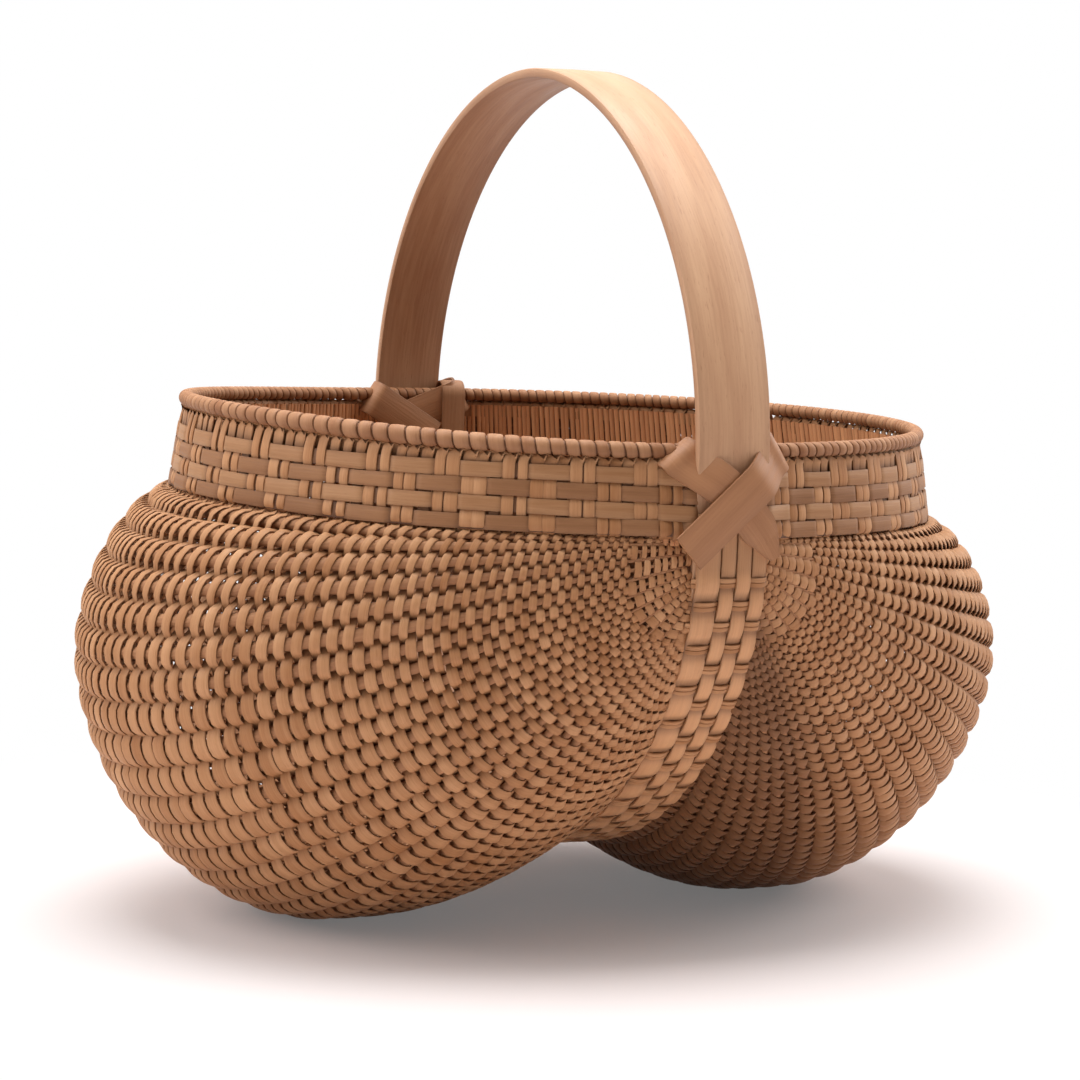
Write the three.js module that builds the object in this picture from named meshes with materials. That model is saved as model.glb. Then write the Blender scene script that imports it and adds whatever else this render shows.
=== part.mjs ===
// Buttocks basket: two round oak hoops, one upright and one level, ribs fanned from the two crossings
// and oak splints woven over them into two lobes. Millimetres, +Z up, X along the lobes, origin on the
// floor under the middle of the basket.
import * as THREE from 'three';

// Upright hoop: handle above the rim, spine between the lobes below it.
const HOOP_DIAMETER = 254;
const HOOP_WIDTH = 25;
const HOOP_THICKNESS = 3.2;
const HANDLE_RISE = 119.5;
const HANDLE_ROUNDNESS = 1.92;
const SPINE_HEIGHT = 23;

// Level hoop with the weavers turned round it.
const RIM_HEIGHT = 164;
const RIM_LENGTH = 249.4;
const RIM_THICKNESS = 7.6;

// Collar of flat splints under the rim.
const COLLAR_ROWS = 4;
const COLLAR_SPLINT_WIDTH = 4.9;
const COLLAR_SPLINT_THICKNESS = 1.2;
const COLLAR_FLARE_TOP = 1;
const COLLAR_FLARE_BOTTOM = 4;
const COLLAR_TILT = 0.018;

// Lobes: each has its own reach, height of its widest part and lift of the rim above it.
const LEFT_REACH = 164.5;
const LEFT_BULGE_HEIGHT = 88;
const LEFT_END_RISE = 5;
const RIGHT_REACH = 168;
const RIGHT_BULGE_HEIGHT = 82;
const RIGHT_END_RISE = 0;
const SHELF_ROUNDNESS = 1.75;
const BULGE_ROUNDNESS = 1.8;
const CROTCH_POWER = 2;
const FOOT_SPREAD = 80;
const FOOT_FLAT = 12;
const FOOT_CUT = 0.5;
const EAR_DROP = 30;

// Ribs and weavers.
const OUTER_RIBS = 17;
const INNER_RIBS = 3;
const RIB_DIAMETER = 4.6;
const RIB_TIP_DIAMETER = 2.6;
const RIB_ROUNDNESS = 1.85;
const RIB_SEAT = 0.9;
const WEAVE_THICKNESS = 2;
const WEAVE_RELIEF = 1.6;
const WEAVE_OUTER_SHARE = 0.8;
const WEAVE_EAR_MARGIN = 5;

// Straps that lash the hoops together at the two ears.
const STRAP_WIDTH = 13;
const STRAP_THICKNESS = 1.2;
const STRAP_FOOT_OFFSET = 15;
const STRAP_FOOT_LIFT = 0.5;
const STRAP_FOLD_RISE = 1;
const STRAP_SPREAD = 1.4;
const STRAP_INNER_DROP = 16;

// Flat strips laid along the spine, from left to right, as shares of the hoop's width.
const SPINE_SPLINT_SHARES = [5, 3, 3, 3];
const SPINE_SPLINT_GAP = 0.5;
const SPINE_SPLINT_THICKNESS = 1.2;
const SPINE_SPLINT_TOP = 6;

const CLEARANCE = 0.3;

// Facet counts.
const HOOP_STEPS = 26;
const RIM_STEPS = 60;
const RIM_SIDES = 8;
const COLLAR_STEPS = 22;
const SPINE_STEPS = 26;
const RIB_STEPS = 12;
const RIB_SAMPLES = 80;
const RIB_SIDES = 6;
const WEAVE_COLUMNS = 23;
const WEAVE_INNER_ROWS = 6;
const OUTLINE_STEPS = 40;
const FOLD_STEPS = 8;
const LEG_STEPS = 4;

// Small turn or stage over which directions are measured.
const PROBE = 0.005;

// Sizes that follow from the ones above.
const hoopRadius = HOOP_DIAMETER / 2;
const hoopEdge = HOOP_WIDTH / 2 + CLEARANCE;
const rimRadius = RIM_THICKNESS / 2;
const rimHalfLength = RIM_LENGTH / 2;
const rimHalfWidth = hoopRadius - HOOP_THICKNESS - CLEARANCE - rimRadius;
const collarPitch = COLLAR_SPLINT_WIDTH + CLEARANCE;
const collarTop = RIM_HEIGHT - rimRadius - CLEARANCE;
const collarBottom = collarTop - COLLAR_ROWS * collarPitch;
const earHeight = RIM_HEIGHT - EAR_DROP;
const earReach = hoopRadius - CLEARANCE;
const LOBES = [
  { name: 'left', side: -1, reach: LEFT_REACH, bulgeHeight: LEFT_BULGE_HEIGHT, endRise: LEFT_END_RISE },
  { name: 'right', side: 1, reach: RIGHT_REACH, bulgeHeight: RIGHT_BULGE_HEIGHT, endRise: RIGHT_END_RISE },
];

const OAK = {
  hoop: { color: 0xc39a72, roughness: 0.55 },
  rim: { color: 0xb48a63, roughness: 0.7 },
  lightSplint: { color: 0xbd946b, roughness: 0.65 },
  brownSplint: { color: 0x9d7654, roughness: 0.7 },
  strap: { color: 0xb1845d, roughness: 0.6 },
  weaver: { color: 0xad8059, roughness: 0.72 },
  rib: { color: 0x8e6344, roughness: 0.75 },
};

const basket = new THREE.Group();

function addPiece(name, geometry, finish) {
  const material = new THREE.MeshStandardMaterial({ ...finish, metalness: 0 });
  const mesh = new THREE.Mesh(geometry, material);
  mesh.name = name;
  basket.add(mesh);
}

const lerp = THREE.MathUtils.lerp;

function signedPower(value, power) {
  return Math.sign(value) * Math.abs(value) ** power;
}

// Signed volume of an indexed mesh, used to keep every face pointing out.
function signedVolume(points, triangles) {
  let sum = 0;
  for (let i = 0; i < triangles.length; i += 3) {
    const [a, b, c] = [points[triangles[i]], points[triangles[i + 1]], points[triangles[i + 2]]];
    sum += a.dot(b.clone().cross(c));
  }
  return sum / 6;
}

// Closed solid through a row of rings. A ring is a ladder: point i faces point (last - i) across it,
// so that an end is closed by the rungs. A looped row joins its last ring to its first instead.
function sweepRings(rings, looped = false) {
  const size = rings[0].length;
  const points = rings.flat();
  const triangles = [];
  const quad = (a, b, c, d) => triangles.push(a, b, c, a, c, d);
  const spans = looped ? rings.length : rings.length - 1;
  for (let r = 0; r < spans; r += 1) {
    const here = r * size;
    const next = ((r + 1) % rings.length) * size;
    for (let i = 0; i < size; i += 1) {
      const j = (i + 1) % size;
      quad(here + i, here + j, next + j, next + i);
    }
  }
  if (!looped) {
    const end = (rings.length - 1) * size;
    for (let i = 0; i < size / 2 - 1; i += 1) {
      const across = size - 1 - i;
      quad(across, across - 1, i + 1, i);
      quad(end + i, end + i + 1, end + across - 1, end + across);
    }
  }
  if (signedVolume(points, triangles) < 0) {
    triangles.reverse();
  }
  const geometry = new THREE.BufferGeometry();
  geometry.setFromPoints(points);
  geometry.setIndex(triangles);
  geometry.computeVertexNormals();
  return geometry;
}

// Round rod ring about a centre, in the plane of two unit vectors.
function rodRing(centre, radius, sides, across, up) {
  const ring = [];
  for (let i = 0; i < sides; i += 1) {
    const angle = (2 * Math.PI * (i + 0.5)) / sides;
    ring.push(centre.clone().addScaledVector(across, radius * Math.cos(angle))
      .addScaledVector(up, radius * Math.sin(angle)));
  }
  return ring;
}

// Outer face of the upright hoop, by the turn from the handle's top: a round arch above the rim, straight
// past the ear and a round spine below it.
function hoopPoint(turn) {
  const above = Math.cos(turn) >= 0;
  const power = 2 / (above ? HANDLE_ROUNDNESS : RIB_ROUNDNESS);
  const centre = above ? RIM_HEIGHT : earHeight;
  const rise = above ? HANDLE_RISE : earHeight - SPINE_HEIGHT;
  const y = hoopRadius * signedPower(Math.sin(turn), power);
  return new THREE.Vector3(0, y, centre + rise * signedPower(Math.cos(turn), power));
}

// Outward direction of the hoop's outer face at a turn.
function hoopNormal(turn) {
  const along = hoopPoint(turn + PROBE).sub(hoopPoint(turn - PROBE));
  return new THREE.Vector3(0, along.z, -along.y).normalize().multiplyScalar(-1);
}

// Flat strip ring lying on the hoop between two places across it.
function bandRing(turn, left, right, inner, outer) {
  const face = hoopPoint(turn);
  const normal = hoopNormal(turn);
  const low = face.clone().addScaledVector(normal, inner);
  const high = face.clone().addScaledVector(normal, outer);
  return [low.clone().setX(left), low.clone().setX(right), high.clone().setX(right), high.clone().setX(left)];
}

function makeHoop() {
  const rings = [];
  for (let i = 0; i < 2 * HOOP_STEPS; i += 1) {
    const turn = (Math.PI * (i + 0.5 - HOOP_STEPS)) / HOOP_STEPS;
    rings.push(bandRing(turn, -HOOP_WIDTH / 2, HOOP_WIDTH / 2, -HOOP_THICKNESS, 0));
  }
  addPiece('handle_hoop', sweepRings(rings, true), OAK.hoop);
}

// Lift of the rim toward the end of a lobe, for a place along X.
function endLift(x) {
  const lobe = x < 0 ? LOBES[0] : LOBES[1];
  return lobe.endRise * (x / rimHalfLength) ** 2;
}

// Place on the rim's plan, pushed outward by an offset, at an angle from the right end.
function planPoint(angle, offset, height) {
  const x = (rimHalfLength + offset) * Math.cos(angle);
  const y = (rimHalfWidth + offset) * Math.sin(angle);
  return new THREE.Vector3(x, y, height + endLift(x));
}

// How far the rim's plan has drawn in from its widest, at a place along X.
function rimSag(x) {
  return rimHalfWidth * (1 - Math.sqrt(1 - (x / rimHalfLength) ** 2));
}

function makeRim() {
  const rings = [];
  const up = new THREE.Vector3(0, 0, 1);
  for (let i = 0; i < RIM_STEPS; i += 1) {
    const angle = (2 * Math.PI * i) / RIM_STEPS;
    const out = new THREE.Vector3(rimHalfWidth * Math.cos(angle), rimHalfLength * Math.sin(angle), 0);
    rings.push(rodRing(planPoint(angle, 0, RIM_HEIGHT), rimRadius, RIM_SIDES, out.normalize(), up));
  }
  addPiece('rim_hoop', sweepRings(rings, true), OAK.rim);
}

// Lift of the collar's splints, which slope down from the left end to the right one, for a place along X.
function collarLift(x) {
  return -COLLAR_TILT * x;
}

// Collar splint: a flat strip round one end, stopping beside the upright hoop at both ears.
function makeCollarSplint(lobe, row) {
  const top = collarTop - row * collarPitch;
  const bottom = top - COLLAR_SPLINT_WIDTH;
  const start = Math.acos((hoopEdge + CLEARANCE) / rimHalfLength);
  const rings = [];
  for (let i = 0; i <= COLLAR_STEPS; i += 1) {
    const swing = lerp(-start, start, i / COLLAR_STEPS);
    const angle = lobe.side > 0 ? swing : Math.PI - swing;
    const x = rimHalfLength * Math.cos(angle);
    const wallHeight = collarTop + endLift(x) - collarBottom - collarLift(x);
    const ring = [];
    for (const [height, depth] of [[bottom, 0], [top, 0], [top, 1], [bottom, 1]]) {
      const wall = lerp(COLLAR_FLARE_BOTTOM, COLLAR_FLARE_TOP, (height - collarBottom) / wallHeight);
      const offset = wall + CLEARANCE + depth * COLLAR_SPLINT_THICKNESS;
      ring.push(planPoint(angle, offset, height).setZ(height + collarLift(x)));
    }
    rings.push(ring);
  }
  const finish = row % 2 === 0 ? OAK.lightSplint : OAK.brownSplint;
  addPiece(`${lobe.name}_collar_splint_${row + 1}`, sweepRings(rings), finish);
}

// Shrink toward the ears of everything measured from the ear-to-ear axis, and the share of the way to an ear.
function earShare(turn) {
  const power = 2 / RIB_ROUNDNESS;
  return { shrink: Math.cos(turn) ** power, share: signedPower(Math.sin(turn), power) };
}

const FOOT_STAGE = 2;
const LAST_STAGE = 4;

// Outer face of a woven lobe. The stage runs 0 to 1 over the shelf under the collar, to 2 down the bulge,
// to 3 across the flat foot and to 4 up the inner side to the spine. The turn runs from ear to ear.
function lobePoint(lobe, stage, turn) {
  const { shrink, share } = earShare(turn);
  const bulgeDrop = earHeight - lobe.bulgeHeight;
  const footDrop = earHeight + FOOT_CUT;
  const spineDrop = earHeight - SPINE_HEIGHT;
  const footOuter = FOOT_SPREAD + FOOT_FLAT / 2;
  const footInner = FOOT_SPREAD - FOOT_FLAT / 2;
  const y = earReach * share;
  let reach;
  let drop;
  if (stage <= 1) {
    const quarter = (stage * Math.PI) / 2;
    const out = Math.sin(quarter) ** (2 / SHELF_ROUNDNESS);
    const up = Math.cos(quarter) ** (2 / SHELF_ROUNDNESS);
    const rimX = (rimHalfLength + COLLAR_FLARE_BOTTOM) * Math.sqrt(1 - share * share);
    const rimZ = collarBottom + collarLift(lobe.side * rimX);
    const bulgeZ = earHeight - bulgeDrop * shrink;
    const x = lerp(rimX, lobe.reach * shrink, out);
    const yShelf = lerp((rimHalfWidth + COLLAR_FLARE_BOTTOM) * share, y, out);
    return new THREE.Vector3(lobe.side * x, yShelf, lerp(bulgeZ, rimZ, up));
  }
  if (stage <= 2) {
    const quarter = ((stage - 1) * Math.PI) / 2;
    reach = lerp(footOuter, lobe.reach, Math.cos(quarter) ** (2 / BULGE_ROUNDNESS));
    drop = lerp(bulgeDrop, footDrop, Math.sin(quarter) ** (2 / BULGE_ROUNDNESS));
  } else if (stage <= 3) {
    reach = lerp(footOuter, footInner, stage - 2);
    drop = footDrop;
  } else {
    reach = lerp(footInner, HOOP_WIDTH / 2, stage - 3);
    drop = lerp(footDrop, spineDrop, (stage - 3) ** CROTCH_POWER);
  }
  return new THREE.Vector3(lobe.side * reach * shrink, y, earHeight - drop * shrink);
}

// Direction out of a lobe's outer face.
function lobeNormal(lobe, stage, turn) {
  const low = Math.max(stage - PROBE, PROBE);
  const high = Math.min(stage + PROBE, LAST_STAGE);
  const down = lobePoint(lobe, high, turn).sub(lobePoint(lobe, low, turn));
  const along = lobePoint(lobe, stage, turn + PROBE).sub(lobePoint(lobe, stage, turn - PROBE));
  return along.cross(down).normalize().multiplyScalar(-lobe.side);
}

// Stages down a lobe with the distance run along its middle from the collar.
function middleDistances(lobe) {
  const table = [];
  let run = 0;
  let last = lobePoint(lobe, 0, 0);
  for (let i = 0; i <= LAST_STAGE * OUTLINE_STEPS; i += 1) {
    const stage = i / OUTLINE_STEPS;
    const point = lobePoint(lobe, stage, 0);
    run += point.distanceTo(last);
    table.push({ stage, run });
    last = point;
  }
  return table;
}

function stageAtDistance(table, run) {
  const above = table.findIndex((entry) => entry.run >= run);
  const [low, high] = [table[above - 1], table[above]];
  return lerp(low.stage, high.stage, (run - low.run) / (high.run - low.run));
}

// Turn toward an ear at which the lobe has shrunk to a share of its middle size.
function turnAtShrink(shrink) {
  return Math.acos(shrink ** (RIB_ROUNDNESS / 2));
}

// Place on a rib's centreline, with the rod's radius there and the directions across it.
function ribStop(lobe, stage, turn) {
  const radius = lerp(RIB_TIP_DIAMETER, RIB_DIAMETER, Math.sqrt(earShare(turn).shrink)) / 2;
  const normal = lobeNormal(lobe, stage, turn);
  const centre = lobePoint(lobe, stage, turn).addScaledVector(normal, -WEAVE_THICKNESS - RIB_SEAT - radius);
  return { centre, radius, normal };
}

// Turn toward the ears that a rib reaches before it meets the upright hoop or a rib that is already there.
function ribEnd(lobe, stage, placed) {
  const lastTurn = turnAtShrink(hoopEdge / lobe.reach);
  let reached = 0;
  for (let i = 0; i <= RIB_SAMPLES; i += 1) {
    const turn = (lastTurn * i) / RIB_SAMPLES;
    const { centre, radius } = ribStop(lobe, stage, turn);
    const besideHoop = Math.abs(centre.x) - radius > hoopEdge + CLEARANCE;
    const room = placed.every((stop) => stop.centre.distanceTo(centre) > stop.radius + radius + RIB_SEAT);
    if (!besideHoop || !room) {
      break;
    }
    reached = turn;
  }
  return reached;
}

// Stage of a rib: the outer ribs are spaced evenly from the collar to the foot, the inner ones from there
// to the spine.
function ribStage(table, index) {
  const footRun = table[FOOT_STAGE * OUTLINE_STEPS].run;
  if (index < OUTER_RIBS) {
    return stageAtDistance(table, (footRun * (index + 0.5)) / OUTER_RIBS);
  }
  const innerRun = table.at(-1).run - footRun;
  return stageAtDistance(table, footRun + (innerRun * (index - OUTER_RIBS + 0.5)) / INNER_RIBS);
}

// Rib: a tapered round rod just inside the weave, as long as its neighbours leave room for.
function makeRib(lobe, table, index, placed) {
  const stage = ribStage(table, index);
  const endTurn = ribEnd(lobe, stage, placed);
  const rings = [];
  for (let i = 0; i <= RIB_STEPS; i += 1) {
    const turn = lerp(-endTurn, endTurn, i / RIB_STEPS);
    const { centre, radius, normal } = ribStop(lobe, stage, turn);
    const along = ribStop(lobe, stage, turn + PROBE).centre.sub(ribStop(lobe, stage, turn - PROBE).centre);
    const sideways = along.normalize().cross(normal).normalize();
    rings.push(rodRing(centre, radius, RIB_SIDES, normal, sideways));
  }
  for (let i = 0; i <= RIB_SAMPLES; i += 1) {
    placed.push(ribStop(lobe, stage, (endTurn * i) / RIB_SAMPLES));
  }
  const number = String(index + 1).padStart(2, '0');
  addPiece(`${lobe.name}_rib_${number}`, sweepRings(rings), OAK.rib);
}

// Ribs of one lobe: every second rib runs to the ears, and the others fill in between them.
function makeRibs(lobe, table) {
  const placed = [];
  for (const first of [0, 1]) {
    for (let index = first; index < OUTER_RIBS + INNER_RIBS; index += 2) {
      makeRib(lobe, table, index, placed);
    }
  }
}

// Stage at which a line down the lobe comes to the edge of the upright hoop.
function edgeStage(lobe, turn) {
  let stage = 0;
  let depth = Math.abs(lobePoint(lobe, 0, turn).x);
  for (let i = 1; i <= LAST_STAGE * OUTLINE_STEPS; i += 1) {
    const next = i / OUTLINE_STEPS;
    const nextDepth = Math.abs(lobePoint(lobe, next, turn).x);
    if (nextDepth < hoopEdge) {
      return lerp(stage, next, (depth - hoopEdge) / (depth - nextDepth));
    }
    stage = next;
    depth = nextDepth;
  }
  return LAST_STAGE;
}

// One line of the weave's outer face from collar to spine, cut off beside the upright hoop. Down to the foot
// it stands out over each rib and sinks in between the ribs.
function weaveColumn(lobe, table, turn) {
  const end = edgeStage(lobe, turn);
  const outerEnd = Math.min(FOOT_STAGE, WEAVE_OUTER_SHARE * end);
  const sunk = WEAVE_RELIEF * earShare(turn).shrink;
  const footRun = table[FOOT_STAGE * OUTLINE_STEPS].run;
  const line = [lobePoint(lobe, 0, turn)];
  for (let row = 1; row < 2 * OUTER_RIBS; row += 1) {
    const middleStage = stageAtDistance(table, (footRun * row) / (2 * OUTER_RIBS));
    const stage = (middleStage * outerEnd) / FOOT_STAGE;
    const depth = row % 2 === 0 ? sunk : 0;
    line.push(lobePoint(lobe, stage, turn).addScaledVector(lobeNormal(lobe, stage, turn), -depth));
  }
  for (let row = 0; row < WEAVE_INNER_ROWS; row += 1) {
    line.push(lobePoint(lobe, lerp(outerEnd, end, row / WEAVE_INNER_ROWS), turn));
  }
  const last = lobePoint(lobe, end, turn);
  line.push(last.setX(lobe.side * hoopEdge));
  return line;
}

// Direction out of a grid of points at one of them.
function gridNormal(grid, column, row, side) {
  const left = grid[Math.max(column - 1, 0)][row];
  const right = grid[Math.min(column + 1, grid.length - 1)][row];
  const upper = grid[column][Math.max(row - 1, 0)];
  const lower = grid[column][Math.min(row + 1, grid[column].length - 1)];
  const along = right.clone().sub(left);
  return along.cross(lower.clone().sub(upper)).normalize().multiplyScalar(-side);
}

// Weave of one lobe: a thin shell from the rim down the collar and round the lobe to the spine.
function makeWeave(lobe, table) {
  const earShrink = (hoopEdge + WEAVE_EAR_MARGIN) / lobe.reach;
  const endTurn = turnAtShrink(earShrink);
  const grid = [];
  for (let i = 0; i <= WEAVE_COLUMNS; i += 1) {
    const turn = lerp(-endTurn, endTurn, i / WEAVE_COLUMNS);
    const { share } = earShare(turn);
    const swing = Math.asin(share);
    const angle = lobe.side > 0 ? swing : Math.PI - swing;
    const top = planPoint(angle, COLLAR_FLARE_TOP, collarTop);
    grid.push([top, ...weaveColumn(lobe, table, turn)]);
  }
  const rings = grid.map((column, c) => {
    const inner = column.map((point, row) => {
      const back = point.clone().addScaledVector(gridNormal(grid, c, row, lobe.side), -WEAVE_THICKNESS);
      back.x = lobe.side * Math.max(lobe.side * back.x, hoopEdge);
      return back;
    });
    const outer = column.map((point) => point.clone().setZ(Math.max(point.z, 0)));
    return [...outer, ...inner.reverse()];
  });
  addPiece(`${lobe.name}_weave`, sweepRings(rings), OAK.weaver);
}

// Ear strap: a flat strip up across the crossing, over the rim beside the handle and down inside in a V.
function makeEarStrap(earName, earSide, layer, lean) {
  const layerStep = STRAP_THICKNESS + CLEARANCE;
  const lift = layer * layerStep;
  const foldX = hoopEdge + CLEARANCE + STRAP_WIDTH / 2;
  const wrap = rimRadius + CLEARANCE + lift;
  const legHalf = (STRAP_WIDTH / 2) * STRAP_SPREAD;
  const outerY = hoopRadius + CLEARANCE + rimSag(hoopEdge) + lift;
  const footZ = earHeight + STRAP_FOOT_LIFT;
  const path = [];
  for (let i = 0; i <= LEG_STEPS; i += 1) {
    const part = i / LEG_STEPS;
    path.push({
      x: lerp(-STRAP_FOOT_OFFSET, foldX, part),
      half: lerp(legHalf, STRAP_WIDTH / 2, Math.max(0, 2 * part - 1)),
      y: outerY,
      z: lerp(footZ, RIM_HEIGHT, part),
      normal: 0,
      bowed: i === LEG_STEPS,
    });
  }
  const bend = (outerY - rimHalfWidth + wrap) / 2;
  for (let i = 1; i <= FOLD_STEPS; i += 1) {
    const angle = (Math.PI * i) / FOLD_STEPS;
    path.push({
      x: foldX,
      half: STRAP_WIDTH / 2,
      y: outerY - bend + bend * Math.cos(angle),
      z: RIM_HEIGHT + (wrap + STRAP_FOLD_RISE) * Math.sin(angle),
      normal: angle,
      bowed: true,
    });
  }
  for (let i = 1; i <= LEG_STEPS; i += 1) {
    const part = i / LEG_STEPS;
    path.push({
      x: lerp(foldX, STRAP_WIDTH / 4, part),
      half: STRAP_WIDTH / 2,
      y: rimHalfWidth - wrap,
      z: RIM_HEIGHT - STRAP_INNER_DROP * part,
      normal: Math.PI,
      bowed: true,
    });
  }
  const rings = path.map((stop) => {
    const ring = [];
    for (const [across, depth] of [[-1, 0], [1, 0], [1, 1], [-1, 1]]) {
      const x = stop.x + across * stop.half;
      const sag = stop.bowed ? rimSag(x) : 0;
      const y = stop.y - sag + depth * STRAP_THICKNESS * Math.cos(stop.normal);
      const z = stop.z + endLift(lean * x) + depth * STRAP_THICKNESS * Math.sin(stop.normal);
      ring.push(new THREE.Vector3(lean * x, earSide * y, z));
    }
    return ring;
  });
  addPiece(`${earName}_ear_strap_${layer === 1 ? 'over' : 'under'}`, sweepRings(rings), OAK.strap);
}

// Spine splint: a flat strip along the outside of the upright hoop from ear to ear.
function makeSpineSplints() {
  const shares = SPINE_SPLINT_SHARES.reduce((sum, share) => sum + share, 0);
  const total = HOOP_WIDTH - 2 * CLEARANCE;
  const covered = total - (SPINE_SPLINT_SHARES.length - 1) * SPINE_SPLINT_GAP;
  const shrink = SPINE_SPLINT_TOP / (earHeight - SPINE_HEIGHT);
  const endTurn = turnAtShrink(shrink);
  let left = -total / 2;
  SPINE_SPLINT_SHARES.forEach((share, index) => {
    const width = (covered * share) / shares;
    const rings = [];
    for (let i = 0; i <= SPINE_STEPS; i += 1) {
      const turn = Math.PI + lerp(-endTurn, endTurn, i / SPINE_STEPS);
      const high = CLEARANCE + SPINE_SPLINT_THICKNESS;
      rings.push(bandRing(turn, left, left + width, CLEARANCE, high));
    }
    const finish = index % 2 === 0 ? OAK.lightSplint : OAK.brownSplint;
    addPiece(`spine_splint_${index + 1}`, sweepRings(rings), finish);
    left += width + SPINE_SPLINT_GAP;
  });
}

makeHoop();
makeRim();
makeSpineSplints();
for (const [earName, earSide] of [['front', -1], ['back', 1]]) {
  makeEarStrap(earName, earSide, 0, -1);
  makeEarStrap(earName, earSide, 1, 1);
}
for (const lobe of LOBES) {
  const table = middleDistances(lobe);
  for (let row = 0; row < COLLAR_ROWS; row += 1) {
    makeCollarSplint(lobe, row);
  }
  makeWeave(lobe, table);
  makeRibs(lobe, table);
}

// The origin stays under the middle of the whole length although one lobe reaches further.
basket.position.x = (LOBES[0].reach - LOBES[1].reach) / 2;

export default basket;
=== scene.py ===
"""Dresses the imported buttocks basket: oak hoops, ribs and woven splints in a plain studio."""
import logging
import math
from dataclasses import dataclass, field
from enum import Enum
from typing import Union

import bpy
import numpy as np
from mathutils import Matrix, Vector


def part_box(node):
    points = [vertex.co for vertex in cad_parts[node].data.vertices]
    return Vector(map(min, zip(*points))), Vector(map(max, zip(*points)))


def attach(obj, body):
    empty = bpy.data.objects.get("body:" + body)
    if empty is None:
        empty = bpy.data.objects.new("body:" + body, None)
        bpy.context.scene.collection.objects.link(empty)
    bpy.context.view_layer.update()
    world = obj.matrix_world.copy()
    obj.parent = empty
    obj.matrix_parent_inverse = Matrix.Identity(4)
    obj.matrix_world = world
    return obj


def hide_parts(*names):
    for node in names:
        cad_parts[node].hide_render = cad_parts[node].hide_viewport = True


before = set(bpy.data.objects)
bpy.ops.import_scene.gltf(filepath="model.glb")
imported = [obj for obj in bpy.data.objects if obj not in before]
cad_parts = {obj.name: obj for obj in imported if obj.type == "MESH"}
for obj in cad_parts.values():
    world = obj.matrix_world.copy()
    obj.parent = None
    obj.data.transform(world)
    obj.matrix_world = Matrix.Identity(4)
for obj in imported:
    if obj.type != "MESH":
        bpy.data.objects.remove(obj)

LOG = logging.getLogger("basket")
MM = 0.001
SEED = 20
FULL_TURN = 2 * math.pi
UP = np.array([0.0, 0.0, 1.0])
# Step over which a slope is taken, and the least length that gives a direction
NEARBY, NO_LENGTH = 0.005, 1e-12
# How strips crowd toward the ears, and how far an eased edge is cut at its corner
CROWDING_POWER, EASED_CORNER = 1.2, 0.3
# Range of the random starts of slow waves
PHASES = (0, 6)
# Angles in degrees past which edges stay sharp
STRIP_CREASE, STRAP_CREASE, BAND_CREASE = 40.0, 30.0, 25.0

Array = np.ndarray
Number = Union[float, np.ndarray]
Colour = tuple[float, float, float]
Place = tuple[float, float, float]
Range = tuple[float, float]
Amount = Union[float, "Shade"]
Tint = Union[Colour, "Shade"]


class Side(Enum):
    """The two lobes, with the direction of each along X."""

    LEFT = -1
    RIGHT = 1


class Ear(Enum):
    """The two crossings of the hoops, with the direction of each along Y."""

    FRONT = -1
    BACK = 1


class Layer(Enum):
    """The two straps of an ear, with their order outward from the hoop."""

    UNDER = 0
    OVER = 1


# Shader expressions and oak finishes


class Shade:
    """A shader value that stands in Python expressions."""

    def __init__(self, paint: "Paint", socket: bpy.types.NodeSocket) -> None:
        """Keeps the socket and the paint that it belongs to."""
        self.paint = paint
        self.socket = socket

    def _math(self, operation: str, first: Amount, second: Amount) -> "Shade":
        """Adds one Math node for an operator."""
        return self.paint.node("ShaderNodeMath", {"operation": operation}, {0: first, 1: second})

    def __add__(self, other: Amount) -> "Shade":
        """Sum of this value and another."""
        return self._math("ADD", self, other)

    def __radd__(self, other: Amount) -> "Shade":
        """Sum of another value and this one."""
        return self._math("ADD", other, self)

    def __sub__(self, other: Amount) -> "Shade":
        """This value less another."""
        return self._math("SUBTRACT", self, other)

    def __rsub__(self, other: Amount) -> "Shade":
        """Another value less this one."""
        return self._math("SUBTRACT", other, self)

    def __mul__(self, other: Amount) -> "Shade":
        """Product of this value and another."""
        return self._math("MULTIPLY", self, other)

    def __rmul__(self, other: Amount) -> "Shade":
        """Product of another value and this one."""
        return self._math("MULTIPLY", other, self)

    def __pow__(self, other: Amount) -> "Shade":
        """This value raised to a power."""
        return self._math("POWER", self, other)

    def spread(self, low: float, high: float) -> "Shade":
        """Smooth 0 to 1 as this value goes from low to high."""
        inputs = {"Value": self, "From Min": low, "From Max": high}
        return self.paint.node("ShaderNodeMapRange", {"interpolation_type": "SMOOTHSTEP"}, inputs)


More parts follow.
